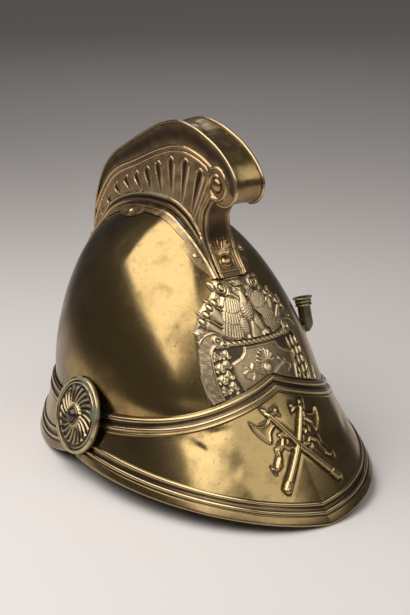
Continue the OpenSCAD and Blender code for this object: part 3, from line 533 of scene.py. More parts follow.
CURVE_STEPS = 12
crest_edge = spline([crest_pt(q) for q in crest_line], CURVE_STEPS)
mask_edge = spline([crest_pt(q) for q in mask_line], CURVE_STEPS)
volute_at = crest_pt([-0.478, 0.414])
roll_start = 11 * CURVE_STEPS
rim = crest_edge[roll_start::-1]
rim_a = np.degrees(np.arctan2(rim[:, 1] - FAN_Z, FAN_Y - rim[:, 0]))
rim_r = np.hypot(rim[:, 0] - FAN_Y, rim[:, 1] - FAN_Z)


def crest_r(a):
    return np.interp(a, rim_a, rim_r)


border_a = np.linspace(40, 178, 139)
border_w = np.interp(border_a, [66, 90, 115, 143, 160, 170], [26, 29, 24.5, 16.5, 6.5, 4])
smooth = np.hanning(21) / np.hanning(21).sum()
inner_r = np.convolve(np.pad(crest_r(border_a) - border_w, 10, "edge"), smooth, "valid")


def border(a):
    return crest_r(a) - np.interp(a, border_a, inner_r)


def skirt_shape(a):
    """Foot of the skirt, width of the flange and lower edge of the plate at angles a."""
    grown = np.clip((a - SKIRT_FROM) / 38, 0, 1)
    fading = np.clip((SKIRT_TO - a) / 25, 0, 1)
    lobe = np.max([np.clip(1 - ((a - b) / 14) ** 2, 0, 1) for b in CREST_RIVETS], 0)
    foot = CREST_HALF + 5 * (0.25 + 0.75 * grown)
    flange = 11 * (0.45 + 0.55 * lobe) * (0.7 + 0.3 * grown)
    low = np.maximum(fan_r(CREST_HALF, a) + 1.6,
                     fan_r(foot, a) + 10 * np.minimum(0.1 + 0.9 * grown, 0.3 + 0.7 * fading))
    return foot, flange, low


skirt_a = np.linspace(SKIRT_FROM, SKIRT_TO, 260)
low_a = np.linspace(20, 175, 200)
low_r = skirt_shape(low_a)[2]


def skirt_low(a):
    return np.interp(a, low_a, low_r)


def bead_along(up, to_a):
    a = np.linspace(168, to_a, 90)
    return fan_flat(a, crest_r(a) - border(a) + up)


# The outer bead runs forward and winds round the boss of the roll
outer_bead = bead_along(8, 62)
scroll_from = outer_bead[-1] - volute_at
scroll_a = math.atan2(scroll_from[1], -scroll_from[0])
wind = np.linspace(0, 1, 60)[1:]
wind_r = np.hypot(*scroll_from) * (1 - wind) ** 0.8 + 7.0 * (1 - (1 - wind) ** 0.8)
wind_a = scroll_a - np.radians(400) * wind
coil = np.stack([-wind_r * np.cos(wind_a), wind_r * np.sin(wind_a)], 1)
outer_bead = np.vstack([outer_bead, volute_at + coil])
panel_front = 61.5
turn_r = crest_r(66) - border(66) + 4
inner_bead = np.vstack([bead_along(4, 65), fan_flat(np.array([63.5, 62.3]), turn_r - np.array([1, 3])),
                        fan_flat(panel_front, np.linspace(turn_r - 7, skirt_low(panel_front) + 1, 12))])
GADROONS = 11
GADROON_FROM = 66.7
GADROON_PITCH = 9.6


def gadroon_at(i):
    """Half width of the head of a teardrop, and the places of its head and tail."""
    a = GADROON_FROM + GADROON_PITCH * i - 0.9 * max(0, i - 8) ** 2
    wide = np.interp(a, [66, 110, 143, 160], [4.3, 4.1, 3.1, 1.5])
    head = crest_r(a) - border(a) - wide - 1.2
    return wide, fan_flat(a, head), fan_flat(a - 1.5, float(skirt_low(a)) + 2.2)


def crest_relief(p):
    """Height of the beaten work of a side plate over its flat, and its shade of hollow and edge."""
    a = np.degrees(np.arctan2(p[:, 1] - FAN_Z, FAN_Y - p[:, 0]))
    r = np.hypot(p[:, 0] - FAN_Y, p[:, 1] - FAN_Z)
    top_gap, _ = segments_gap(p, resampled(crest_edge, 2))
    neck_gap, _ = segments_gap(p, resampled(mask_edge, 2))
    bead_gap, _ = segments_gap(p, resampled(outer_bead, 2))
    cove = np.sin(np.pi * np.clip(top_gap / (top_gap + bead_gap + 1e-6), 0, 1)) * np.clip(bead_gap / 3, 0, 1)
    outside_bead = np.clip((r - (crest_r(a) - border(a) + 8)) / 2, 0, 1) * (top_gap < 25)
    h = -0.9 * cove * outside_bead
    floor = np.clip((crest_r(a) - border(a) + 4 - r) / 2, 0, 1) * np.clip((a - panel_front) / 1.5, 0, 1)
    h -= 0.5 * floor
    shade = -0.6 * cove * outside_bead + 0.12 * floor
    for i in range(GADROONS):
        wide, head, tail = gadroon_at(i)
        gap, along = segments_gap(p, [head, tail])
        # The tail narrows in a curve from the round head
        half = 0.4 + (wide - 0.4) * (1 - along ** 1.4)
        depth = np.clip(1 - (gap / half) ** 2, 0, 1)
        lip = np.exp(-((gap - half - 0.4) / 1.1) ** 2)
        h = h - 0.95 * half * np.sqrt(depth) + 1.2 * lip * (1 - 0.5 * along)
        # Painted shade in each hollow, darker on one side, and a painted highlight on its lip
        facing = a > GADROON_FROM + GADROON_PITCH * i - 0.8
        shade = shade - (0.45 + 0.55 * facing) * depth ** 0.5 + (1.2 - 0.5 * along) * lip
    for path, half, high in ((outer_bead, 1.25, 1.3), (inner_bead, 1.0, 1.1)):
        bead = ridge(p, resampled(path, 1), half)
        h += high * bead
        shade = np.where(bead > 0, np.maximum(shade, -0.3) * (1 - bead) + 0.8 * bead, shade)
    foot_bead = rounded(r - skirt_low(a) - 0.6, 1.3) * (a > 34)
    h = np.maximum(h, 1.3 * foot_bead)
    shade = shade * (1 - foot_bead) + 0.8 * foot_bead
    for gap, half, high in ((neck_gap - 2.2, 1.0, 0.9), (neck_gap - 5.4, 0.8, 0.6)):
        bead = rounded(gap, half) * (p[:, 1] < volute_at[1] - 9)
        h += high * bead
        shade = shade * (1 - bead) + 0.7 * bead
    boss_gap = np.hypot(*(p - volute_at).T)
    boss = rounded(boss_gap, 5.4)
    h += 2.6 * boss
    shade += 0.5 * boss - 1.0 * np.exp(-((boss_gap - 5.7) / 0.6) ** 2)
    dents = 0.25 * waves(p, 13, 11) * np.clip(top_gap / 4, 0, 1)
    green = np.exp(-np.clip(r - skirt_low(a), 0, 99) / 3) + 0.5 * np.exp(-neck_gap / 2.5)
    return h + dents, np.clip(shade, -1, 1), np.clip(green, 0, 1)


crest_brown = old_brass("crest_brown_brass", (0.43, 0.285, 0.14), (0.14, 0.08, 0.04), age=0.8,
                        hollows=0.95, green=0.8, polish=0.22, recess=(0.04, 0.022, 0.014))
low_edge = skirt_a[skirt_a > SKIRT_FROM + 3]
side_outline = np.vstack([
    beside(crest_edge, WIRE_H + SHEET + PLATE_GAP), beside(mask_edge, SHEET + PLATE_GAP),
    fan_flat(low_edge, np.maximum(fan_r(CREST_HALF, low_edge) + FIT, skirt_low(low_edge) - 1.2))])
fan_a = np.linspace(58, 162, 60)
fan_busy = np.vstack([fan_flat(fan_a, crest_r(fan_a) - border(fan_a) + 12),
                      fan_flat(fan_a, skirt_low(fan_a) - 1)[::-1]])
flat, triangles = panel(side_outline, 0.7, busy=fan_busy, fine=0.42)
high, shade, green = crest_relief(flat)
side_out = np.stack([-CREST_HALF - high, flat[:, 0], flat[:, 1]], 1)
back, back_triangles = panel(side_outline, 0.7, fill_step=3.0)
thick = SHEET + WORK_DEPTH * np.clip(-edge_gap(back, side_outline) / 4, 0, 1)
side_in = np.stack([-CREST_HALF + thick, back[:, 0], back[:, 1]], 1)
side_plate = slab(side_out, triangles, side_in, back_triangles, relief=shade, seam=green)


def arc_rows(p0, p1, bend, count):
    """Points from p0 to p1 on a curve drawn towards bend."""
    k = np.linspace(0, 1, count)[:, None, None]
    return (1 - k) ** 2 * p0 + 2 * k * (1 - k) * bend + k ** 2 * p1


foot, flange, low = skirt_shape(skirt_a)
foot_r = fan_r(foot, skirt_a, FIT)
top = np.stack([np.full(len(skirt_a), CREST_HALF - 0.3), low - 0.5], 1)
mid = np.stack([CREST_HALF + 0.42 * (foot - CREST_HALF), low + 0.5 * (foot_r - low)], 1)
base = np.stack([foot, foot_r], 1)
flange_x = foot + np.linspace(0.12, 1, 9)[:, None] * flange
flange_rows = np.stack([flange_x, fan_r(flange_x, skirt_a[None, :], FIT)], 2)
rows = np.concatenate([
    arc_rows(top, mid - [0.6, -0.6], np.stack([top[:, 0] - 0.3, mid[:, 1]], 1), 7),
    mid[None] + np.array([[-0.3, 0.9], [0.45, 0.75], [0.8, 0.0], [0.35, -0.7]])[:, None, :],
    arc_rows(mid + [-0.1, -1.0], base + [0.1, 0.5], np.stack([mid[:, 0] - 0.1, base[:, 1] + 0.5], 1), 7)[1:],
    base[None] + np.array([[0.5, 0.75], [1.1, 0.5]])[:, None, :], flange_rows])
# Painted highlights on the skirt's beads and painted shade in its coves
bead_rows = np.array([0] * 7 + [0.6, 0.9, 0.9, 0.4] + [0] * 6 + [0.7, 0.5] + [0.0] * 8 + [0.9])
cove_shade_rows = np.array([0.3, 0.8, 1, 1, 1, 0.8, 0.4] + [0] * 4 + [0.7, 0.9, 1, 1, 1, 0.6] + [0] * 11)
way = np.gradient(rows, axis=0)
way /= np.linalg.norm(way, axis=-1)[..., None]
lift = np.stack([-way[..., 1], way[..., 0]], -1) * SHEET
outer = rows + lift


def fan_place(q):
    """Points on the wearer's right from x and fan radius at each angle of the skirt."""
    yz = fan_flat(np.broadcast_to(skirt_a, q.shape[:-1]), q[..., 1])
    return np.concatenate([-q[..., :1], yz], -1)


skirt_shade = (bead_rows - cove_shade_rows)[:, None] * np.ones(len(skirt_a))
skirt_green = np.zeros_like(skirt_shade)
skirt_green[-9:] = 0.35
skirt_green[11:19] = 0.35
skirt = shell(fan_place(outer), fan_place(rows), quads(len(rows), len(skirt_a)),
              relief=skirt_shade, seam=skirt_green)
for name, parts in (("right", [side_plate, skirt]), ("left", [mirrored(side_plate), mirrored(skirt)])):
    piece(f"crest_side_plate_{name}", parts, crest_brown, "crest_brass", f"crest_side_{name}")

# Crest top band: a shallow channel with a wire rolled into each edge, bent over the crest and rolled
# under in front, where a slot takes a tuft. It is soldered between the side plates.
WIRE_R = 1.15
band_half = CREST_HALF + PLATE_GAP + SHEET / 2


def on_path(path, x, s, h):
    """A point x across a sheet bent along a side-view path, s along it and h out of its face."""
    run = run_along(path)
    way = np.gradient(path, axis=0)
    way /= np.linalg.norm(way, axis=1)[:, None]
    y, z, wy, wz = (np.interp(s, run, column) for column in (*path.T, *way.T))
    return np.stack([x, y + wz * h, z - wy * h], -1)


def sweep(path, radius, sides, relief=0.0):
    """A round rod along points in space, closed at both ends."""
    path = np.asarray(path, float)
    way = np.gradient(path, axis=0)
    way /= np.linalg.norm(way, axis=1)[:, None]
    side = np.cross(way, [0.0, 0.0, 1.0]) + 1e-9
    side = np.where(np.linalg.norm(side, axis=1)[:, None] > 0.05, side, np.cross(way, [1.0, 0.0, 0.0]))
    side /= np.linalg.norm(side, axis=1)[:, None]
    over = np.cross(side, way)
    turn = np.linspace(0, 2 * math.pi, sides, endpoint=False)
    radius = np.broadcast_to(radius, len(path))
    rings = path[:, None] + radius[:, None, None] * (side[:, None] * np.cos(turn)[:, None]
                                                     + over[:, None] * np.sin(turn)[:, None])
    ends = np.stack([path[0] - way[0] * radius[0] * 0.4, path[-1] + way[-1] * radius[-1] * 0.4])
    n = len(path) * sides
    j = np.arange(sides)
    k = (j + 1) % sides
    caps = np.stack([np.concatenate([k, n - sides + j]), np.concatenate([j, n - sides + k]),
                     np.repeat([n, n + 1], sides)], 1)
    return part(np.concatenate([rings.reshape(-1, 3), ends]), quads(len(path), sides, True), caps,
                relief=relief)


band_brass = old_brass("crest_band_brass", (0.42, 0.295, 0.13), (0.12, 0.07, 0.035), age=0.75, green=0.4,
                       polish=0.22)
band_len = np.linalg.norm(np.diff(crest_edge, axis=0), axis=1).sum()
SLOT = (5.2, 2.2)
SLOT_TURN = np.radians(35)
slot_at = [-4.5, band_len - 17]
ring = np.linspace(0, 2 * math.pi, 28, endpoint=False)
slot_oval = np.stack([np.cos(ring) * SLOT[0] / 2, np.sin(ring) * SLOT[1] / 2], 1)
slot_loop = slot_oval @ np.array([[math.cos(SLOT_TURN), math.sin(SLOT_TURN)],
                                  [-math.sin(SLOT_TURN), math.cos(SLOT_TURN)]]) + slot_at
band_outline = np.array([[-band_half, 0], [band_half, 0], [band_half, band_len], [-band_half, band_len]])
# Dents of the band: place across and along it, reach and depth
dent_at = [((3, 128), 8, 0.9), ((-4, 150), 6, 0.6), ((5, 172), 9, 0.8), ((-2, 196), 7, 0.5),
           ((4, 90), 10, 0.6), ((-5, 60), 9, 0.6), ((2, 30), 8, 0.5), ((4, 214), 6, 0.6)]


def band_height(flat):
    """Height of the dented channel between its wires."""
    across = np.clip(np.abs(flat[:, 0]) / (band_half - 2 * WIRE_R), 0, 1)
    dented = 0.3 * waves(flat, 14, 21) + 0.15 * waves(flat * [1, 0.45], 7, 22)
    for place, reach, depth in dent_at:
        dented -= depth * np.exp(-(np.hypot(*((flat - place) * [1, 0.6]).T) / reach) ** 2)
    h = -WIRE_H - 0.7 * (1 - across ** 2) + dented * (1 - across ** 4)
    return np.where(np.abs(flat[:, 0]) > band_half - 2 * WIRE_R, -WIRE_H + 0.1, h)


flat, triangles = panel(band_outline, 0.8, [slot_loop])
back, back_triangles = panel(band_outline, 0.8, [slot_loop], fill_step=2.0)
slot_gap, _ = segments_gap(flat, looped(slot_loop))
shade = -0.6 * np.exp(-((np.abs(flat[:, 0]) - band_half + 2.6) / 0.7) ** 2) - 0.7 * np.exp(-slot_gap / 0.8)
shade += 0.25 * waves(flat, 9, 23)
band = slab(on_path(crest_edge, flat[:, 0], flat[:, 1], band_height(flat)), triangles,
            on_path(crest_edge, back[:, 0], back[:, 1], band_height(back) - SHEET), back_triangles,
            relief=shade, seam=0.25)
wire_s = np.linspace(0.2, band_len - 0.2, 230)
wires = []
for x in (-band_half + WIRE_R, band_half - WIRE_R):
    wobble = 0.18 * waves(wire_s[:, None] + x, 22, 24)
    wires.append(sweep(on_path(crest_edge, x + 0.4 * wobble, wire_s, -WIRE_R + wobble.clip(-1, 0.1)),
                       WIRE_R, 12, relief=0.85))
piece("crest_top_channel", [band, *wires], band_brass, "crest_band_brass", "crest_top_band")

# Crest mask: the concave neck plate in front, with a bead down each side, curling flames over a
# ringed ball, and a bar at its foot. Its edges are soldered to the side plates.
MASK_HALF = CREST_HALF - SHEET - PLATE_GAP
mask_len = np.linalg.norm(np.diff(mask_edge, axis=0), axis=1).sum()
ball_s = mask_len - 12.5
FLAMES = 11


def flame_path(i):
    """A curling tongue of flame from over the ball."""
    lean_a = (i - (FLAMES - 1) / 2) / ((FLAMES - 1) / 2)
    reach = 13.5 - 5.5 * lean_a ** 2 - (1.5 if i % 2 else 0)
    k = np.linspace(0, 1, 9)
    bend = np.radians(lean_a * 62) + 0.45 * np.sin(k * 5 + i) * k
    steps = reach / 8 * np.stack([np.sin(bend), -np.cos(bend)], 1)
    return np.array([lean_a * 2.6, ball_s - 5.6]) + np.cumsum(steps, 0)


def mask_relief(p):
    """Height of the mask's work over its sheet, and its shade."""
    h = np.zeros(len(p))
    side_gap = MASK_HALF - np.abs(p[:, 0])
    bead = rounded(side_gap - 1.1, 1.1)
    second = rounded(side_gap - 3.1, 0.55) * 0.5
    low_bar = rounded(mask_len - 4.6 - p[:, 1], 0.9)
    h += 1.3 * np.maximum(bead, low_bar) + 0.7 * second
    edges = np.maximum(np.maximum(bead, low_bar), second)
    tongues = np.max([ridge(p, flame_path(i), (1.0, 0.45)) for i in range(FLAMES)], 0)
    h += 1.2 * tongues
    ball_gap = np.hypot(p[:, 0], p[:, 1] - ball_s)
    ball = rounded(ball_gap, 4.9)
    ring_bead = rounded(ball_gap - 5.7, 0.55)
    h += 3.2 * ball + 0.9 * ring_bead
    shade = -0.55 + 1.35 * np.maximum.reduce([edges, tongues, ring_bead]) + 1.0 * (ball > 0)
    shade -= 0.9 * np.exp(-((ball_gap - 5.0) / 0.35) ** 2)
    return h + 0.15 * waves(p, 9, 31), np.clip(shade, -1, 1)


chased = old_brass("chased_plate_brass", (0.56, 0.45, 0.27), (0.14, 0.1, 0.06), age=0.45, hollows=0.9,
                   green=0.55, polish=0.3, recess=(0.06, 0.042, 0.032))
mask_outline = np.array([[-MASK_HALF, 0.2], [MASK_HALF, 0.2], [MASK_HALF, mask_len], [-MASK_HALF, mask_len]])
flat, triangles = panel(mask_outline, 0.34)
back, back_triangles = panel(mask_outline, 0.34, fill_step=2.0)
high, shade = mask_relief(flat)
side_dirt = 0.5 * np.exp(-(MASK_HALF - np.abs(flat[:, 0])) / 2)
piece("crest_mask", [slab(on_path(mask_edge, flat[:, 0], flat[:, 1], high), triangles,
                          on_path(mask_edge, back[:, 0], back[:, 1], -SHEET), back_triangles,
                          relief=shade, seam=side_dirt)],
      old_brass("mask_brown_brass", (0.42, 0.28, 0.12), (0.08, 0.046, 0.025), age=0.6, hollows=0.85,
                green=0.6, polish=0.24), "crest_brass", "crest_front_mask")

# Front plate: stamped brass with a spread eagle on a bar between flags and spears, over a shield with a
# grenade and crossed axes, laurel and oak sprays and a plain scroll; three studs hold it on the skull.
PLATE_HALF = 49
PLATE_TOP = 155
PEAK_APEX = 92.5
TOP_SIDE = 52.5
PLATE_EDGE = [[0, 1], [0.36, 1], [0.42, 0.9], [0.5, 0.83], [0.61, 0.78], [0.74, 0.68], [0.88, 0.49],
              [0.94, 0.28], [1, 0.05]]
VOLUTE_AT = np.array([14.6, 151.0])
STEM_AT = np.array([19.9, 152.2])
SPEARS = (((30.2, 144.4), (12, 131.5)), ((38.0, 136.8), (20, 123)), ((44.6, 123.6), (26.6, 115.8)))
KNOBS = ((23.4, 142.0), (27.8, 139.2), (31.8, 134.8), (36.2, 130.4))
SCROLL = [[31.5, 119.6], [37.5, 117.6], [42, 111.5], [44, 102.5], [45, 92.5], [44.2, 84], [42, 74], [38, 62]]
SHIELD = [[0, 112.7], [13.6, 112.7], [15, 109], [18.8, 105.8], [26, 102.8], [26.4, 95], [23.6, 85],
          [19.5, 74]]
OAK_LEAVES = ((29.5, 110), (35.5, 109), (31, 103.5), (36.5, 101.5), (31.5, 96.5), (37.5, 94), (31, 89.5),
              (36.5, 86.5), (28.5, 83), (34, 79.5), (28, 76.5), (32.5, 73))
SCROLL_END = (31.0, 118.2)
GRENADE_Z = 97.4
PERCH_Z = 115.7
PERCH_HALF = 24.5
PERCH_BALL = (10.2, 119.3)
BREAST_Z = 136
FLAG_ROOT = (-8, 104)
EAGLE_BODY = np.array([[0, 146], [4, 143], [6, 134], [10.6, 129], [10.6, 120], [4, 117.5], [0, 117]])
RELIEF_H = 3.0


def peak_top_z(t):
    return TOP_SIDE + (PEAK_APEX - TOP_SIDE) * np.clip(1 - np.abs(t) / 90, 0, 1) ** 1.4


def plate_low(x):
    return peak_top_z(np.degrees(np.arcsin(np.clip(np.abs(x) / wall_w(TOP_SIDE + 20.0), 0, 1)))) + 1.4


def front_pt(x, z, grow=0.0):
    y = -wall_front(z, grow) * np.sqrt(1 - (x / wall_w(z, grow)) ** 2)
    return np.stack([x, y, z], -1)


def oval(p, x, z, rx, rz, turn=0.0):
    """A round swelling, 0 to 1, of those half widths, turned anticlockwise by turn degrees."""
    c, s = math.cos(math.radians(turn)), math.sin(math.radians(turn))
    u = (p[:, 0] - x) * c + (p[:, 1] - z) * s
    v = -(p[:, 0] - x) * s + (p[:, 1] - z) * c
    return np.sqrt(np.clip(1 - (u / rx) ** 2 - (v / rz) ** 2, 0, 1))


def leaf(p, x, z, length, turn, fat=0.3):
    """A pointed leaf with a vein, its stalk at x, z."""
    c, s = math.cos(math.radians(turn)), math.sin(math.radians(turn))
    u = ((p[:, 0] - x) * c + (p[:, 1] - z) * s) / length
    v = (-(p[:, 0] - x) * s + (p[:, 1] - z) * c) / (length * fat)
    wide = np.sin(np.pi * np.clip(u, 0, 1) ** 0.8)
    body = np.clip(1 - (v / np.maximum(wide, 1e-3)) ** 2, 0, 1) * (u > 0) * (u < 1)
    return np.sqrt(body) * (1 - 0.45 * np.exp(-(v / 0.16) ** 2))


def wing(p):
    """Three tiers of long feathers, hanging from a bent leading edge, on the side where x > 0."""
    h = np.zeros(len(p))
    for tops, tips, count, high in ((((7, 133), (18.5, 139)), ((9, 119.8), (26.2, 122.6)), 9, 0.5),
                                    (((6, 138), (17.5, 142.5)), ((7.5, 129), (22.3, 131)), 8, 0.6),
                                    (((5, 142), (15.5, 145.6)), ((6.5, 136.5), (19, 137.6)), 7, 0.7)):
        tops, tips = np.array(tops, float), np.array(tips, float)
        tier = np.zeros(len(p))
        for k in (np.arange(count) + 0.5) / count:
            wide = [0.5 * np.linalg.norm(ends[1] - ends[0]) / count for ends in (tops, tips)]
            drop = [0, -1.8 * math.sin(math.pi * k)]
            tier = np.maximum(tier, ridge(p, [tops[0] + k * (tops[1] - tops[0]),
                                              tips[0] + k * (tips[1] - tips[0]) + drop], wide))
        h = np.where(tier > 0, np.maximum(high - 0.32 + 0.32 * tier, 0), h)
    lead = spline([[3.6, 142.4], [8, 146.4], [12, 147.2], [16, 144.8], [19, 140.5]], 5)
    return np.maximum(h, 0.92 * ridge(p, lead, (2.0, 1.3)))


def trophy(p):
    """Ribbed flags behind three spears and a row of knobs, on the side where x > 0."""
    across, up = (p - FLAG_ROOT).T
    fan, reach = np.arctan2(up, across), np.hypot(up, across)
    h = 0.12 + 0.46 * np.abs(np.sin(fan * 15 + 0.5 * np.sin(reach * 0.35)))
    h -= 0.12 * np.exp(-(((reach - 31) % 12 - 6) / 0.7) ** 2)
    for tip, foot in SPEARS:
        tip, foot = np.array(tip), np.array(foot)
        way = (tip - foot) / np.linalg.norm(tip - foot)
        gap, _ = segments_gap(p, [foot, tip - 5 * way])
        h = np.where(gap < 1.5, 0.12, h)
        h = np.maximum(h, 0.8 * ridge(p, [foot, tip - 5 * way], 0.8))
        turn = math.degrees(math.atan2(way[1], way[0]))
        h = np.maximum(h, 0.95 * leaf(p, *(tip - 6.5 * way), 6.9, turn, 0.27))
        h = np.maximum(h, 0.95 * oval(p, *(tip - 7.4 * way), 1.7, 1.7))
    for knob in KNOBS:
        h = np.where(np.hypot(*(p - knob).T) < 2.6, 0.1, h)
        h = np.maximum(h, 0.95 * oval(p, *knob, 2.1, 2.1))
    return h


def spray(p, seed):
    """Three-lobed oak leaves with acorns, between the shield and the scroll, where x > 0."""
    rng = np.random.default_rng(seed)
    h = np.full(len(p), 0.06)
    for x, z in OAK_LEAVES:
        turn = rng.uniform(60, 120)
        for side, length in ((-58, 4.2), (58, 4.2), (0, 5.6)):
            h = np.maximum(h, rng.uniform(0.62, 0.85) * leaf(p, x, z - 2.6, length, turn + side, 0.42))
        h = np.maximum(h, 0.8 * oval(p, x + rng.uniform(1.8, 3), z - 3.2, 1.2, 1.2))
    return h


def laurel(p):
    """Upright laurel leaves beside the shield, where x > 0."""
    h = np.full(len(p), 0.08)
    for i in range(8):
        for j in range(6):
            turn = 97 - 4 * i + 12 * (-1) ** (i + j)
            blade = leaf(p, 25.5 + 2.3 * i + 1.1 * (j % 2), 73 + 6.2 * j, 8, turn, 0.115)
            h = np.maximum(h, (0.85 - 0.1 * (j % 2)) * blade)
    return h


def axe(p):
    """An axe whose handle slants up and outwards, on the side where x > 0."""
    h = 0.8 * ridge(p, [[-3, 91.2], [17.4, 99.8]], 0.85)
    blade = np.array([[12.4, 97.4], [16.5, 99.5], [21.8, 97], [21.4, 93.5], [16, 90.8], [13.4, 93.5]])
    gap = edge_gap(p, blade)
    h = np.where(gap < 0, np.maximum(h, np.minimum(-gap, 0.5 + 0.3 * np.exp(-((gap + 0.7) / 0.4) ** 2))), h)
    return np.maximum(h, 0.8 * ridge(p, [[14.6, 98.8], [12, 101.6]], (0.7, 1.3)))


def plate_relief(p):
    """Share of the stamped relief over the plate, 0 to 1."""
    folded = np.stack([np.abs(p[:, 0]), p[:, 1]], 1)
    x, z = folded.T
    h = np.where(z > 113, trophy(folded), 0.08)
    h = np.where((z < 113) & (x > 19), np.where(p[:, 0] > 0, laurel(folded), spray(folded, 5)), h)
    gap, _ = segments_gap(folded, spline(SCROLL, 6))
    strap = (0.26 + 0.07 * waves(folded, 5, 44)) * np.clip((4.7 - gap) / 0.4, 0, 1)
    h = np.where(gap < 4.9, np.maximum(strap, 0.68 * rounded(gap - 3.9, 0.8)), h)
    curl = np.hypot(*(folded - SCROLL_END).T)
    h = np.where(curl < 3.8, 0.25 + 0.55 * np.abs(np.cos(curl * 1.15)), h)
    wings = wing(folded)
    h = np.where(wings > 0.03, wings + 0.1, h)
    round_body = edge_gap(folded, EAGLE_BODY)
    h = np.where(round_body < 0.6, np.where(round_body < 0, 0.2, 0.1), h)
    h = np.maximum(h, oval(p, 0, BREAST_Z, 5.6, 8.6))
    scales = np.abs(np.sin(x * 1.9) * np.sin((z + x * 0.6) * 1.7))
    h = np.where(oval(p, 0, BREAST_Z, 5.2, 8.2) > 0, h - 0.16 * scales, h)
    for way in (-1, 1):
        thigh = oval(p, way * 6.4, 126.2, 3.9, 6.6, way * 12)
        h = np.maximum(h, 0.95 * thigh - 0.12 * np.abs(np.sin(p[:, 1] * 2.4)) * (thigh > 0))
        for toe in (-1, 0, 1):
            h = np.maximum(h, 0.85 * ridge(p, [[way * 6.8, 120], [way * 6.8 + 2.0 * toe, 115.2]], 0.85))
    h = np.maximum(h, 0.95 * ridge(p, [[0, 141], [-0.3, 147]], (3.8, 2.2)))
    h = np.maximum(h, 0.98 * oval(p, -0.3, 149.4, 2.7, 3.0))
    h = np.maximum(h, 0.8 * ridge(p, [[-1.5, 149.6], [-4.6, 148.4]], (1.1, 0.6)))
    tail = np.max([ridge(p, [[0, 128], [dx, 118]], (0.7, 0.9)) for dx in (-3, -1.5, 0, 1.5, 3)], 0)
    h = np.maximum(h, 0.7 * tail)
    h = np.where(np.hypot(*(p - PERCH_BALL).T) < 3.7, 0.1, h)
    h = np.maximum(h, oval(p, *PERCH_BALL, 3.3, 3.3))
    twist = 0.82 + 0.18 * np.sin(p[:, 0] * 1.6 + z * 1.2)
    h = np.where((np.abs(z - PERCH_Z) < 2.5) & (x < PERCH_HALF + 1), 0.1, h)
    h = np.maximum(h, twist * ridge(p, [[-PERCH_HALF, PERCH_Z], [PERCH_HALF, PERCH_Z]], 1.8))
    frame_gap, _ = segments_gap(folded, SHIELD)
    in_shield = inside(folded, np.array([*SHIELD, [-1, 74], [-1, 112.7]]))
    field = np.where(in_shield, 0.28, h)
    axes = np.maximum(axe(p), axe(p * [-1, 1]))
    burst = np.max([ridge(p, [[0, 101.5], [7 * math.sin(a), 102.4 + 7 * math.cos(a)]], (0.8, 1.3))
                    for a in np.radians([-84, -60, -36, -12, 12, 36, 60, 84])], 0)
    field = np.maximum(field, np.where(in_shield, np.maximum(axes, 0.8 * burst), 0))
    ball_gap = np.hypot(p[:, 0], p[:, 1] - GRENADE_Z)
    ball = oval(p, 0, GRENADE_Z, 4.2, 4.2)
    ball_ring = 0.45 * np.clip(1 - ((ball_gap - 5.0) / 0.7) ** 2, 0, 1)
    field = np.where(ball_gap < 5.6, np.maximum(ball_ring, 0.35), field)
    field = np.where(ball > 0, 0.35 + 0.75 * ball, field)
    h = np.maximum(field, 0.75 * rounded(frame_gap, 0.9))
    for way in (-1, 1):
        h = np.where((x < 9.7) & (z > 150.5), 0.15, h)
        h = np.maximum(h, 0.8 * oval(p, way * STEM_AT[0], STEM_AT[1], 1.7, 3.4))
        q = p - VOLUTE_AT * [way, 1]
        spin = np.arctan2(q[:, 1], q[:, 0] * way)
        gap_c = np.hypot(*q.T)
        coil = np.abs((gap_c - 1.1 * spin / math.pi) % 2.2 - 1.1)
        curl = np.where(gap_c < 4.9, 0.2 + 0.75 * np.clip(1.5 - coil / 0.55, 0, 1), 0.1)
        h = np.where(gap_c < 5.4, np.where(gap_c < 1.2, 1.0, curl), h)
    for a in (-58, -29, 0, 29, 58):
        h = np.maximum(h, 0.85 * leaf(p, 0.0, 150.6, 6.6, 90 + a, 0.3) * (z > 151))
    return h


def ray_out(centre, outline, way):
    """How far rays from a centre reach to the far side of a closed outline, 0 if they miss it."""
    a = outline - centre
    b = np.roll(outline, -1, 0) - centre
    d = b - a
    cross = way[:, :1] * d[None, :, 1] - way[:, 1:] * d[None, :, 0]
    cross = np.where(np.abs(cross) < 1e-9, 1e-9, cross)
    reach = (a[None, :, 0] * d[None, :, 1] - a[None, :, 1] * d[None, :, 0]) / cross
    on = (a[None, :, 0] * way[:, 1:] - a[None, :, 1] * way[:, :1]) / cross
    return np.where((on >= 0) & (on <= 1) & (reach > 0), reach, 0).max(1)


plate_x = np.linspace(-PLATE_HALF, PLATE_HALF, 120)
plate_share = np.interp(np.abs(plate_x) / PLATE_HALF, *np.array(PLATE_EDGE).T)
plate_high = np.maximum(plate_low(plate_x) + 4, PEAK_APEX + (PLATE_TOP - PEAK_APEX) * plate_share)
body_line = np.vstack([np.stack([plate_x, plate_low(plate_x)], 1),
                       np.stack([plate_x, plate_high], 1)[::-1]])
shapes = [body_line]
for side in (-1, 1):
    for centre, radius in ((VOLUTE_AT, 4.9), (STEM_AT, 2.6)):
        around = np.linspace(0, 2 * math.pi, 40, False)
        shapes.append(centre * [side, 1] + radius * np.stack([np.cos(around), np.sin(around)], 1))
    for tip, foot in SPEARS:
        way = (np.array(tip) - foot) / np.linalg.norm(np.array(tip) - foot)
        across = np.array([-way[1], way[0]])
        head = [tip - down * way + wide * across for down, wide in
                ((0, 0), (3, 1.5), (6, 1.7), (16, 1.7), (16, -1.7), (6, -1.7), (3, -1.5))]
        shapes.append(np.array(head) * [side, 1])
star = np.array([0.0, 112.0])
rays = np.linspace(0, 2 * math.pi, 1800, endpoint=False)
rays = np.stack([np.cos(rays), np.sin(rays)], 1)
rim_line = star + rays * np.max([ray_out(star, shape, rays) for shape in shapes], 0)[:, None]
flat, triangles = panel(rim_line, 0.34)
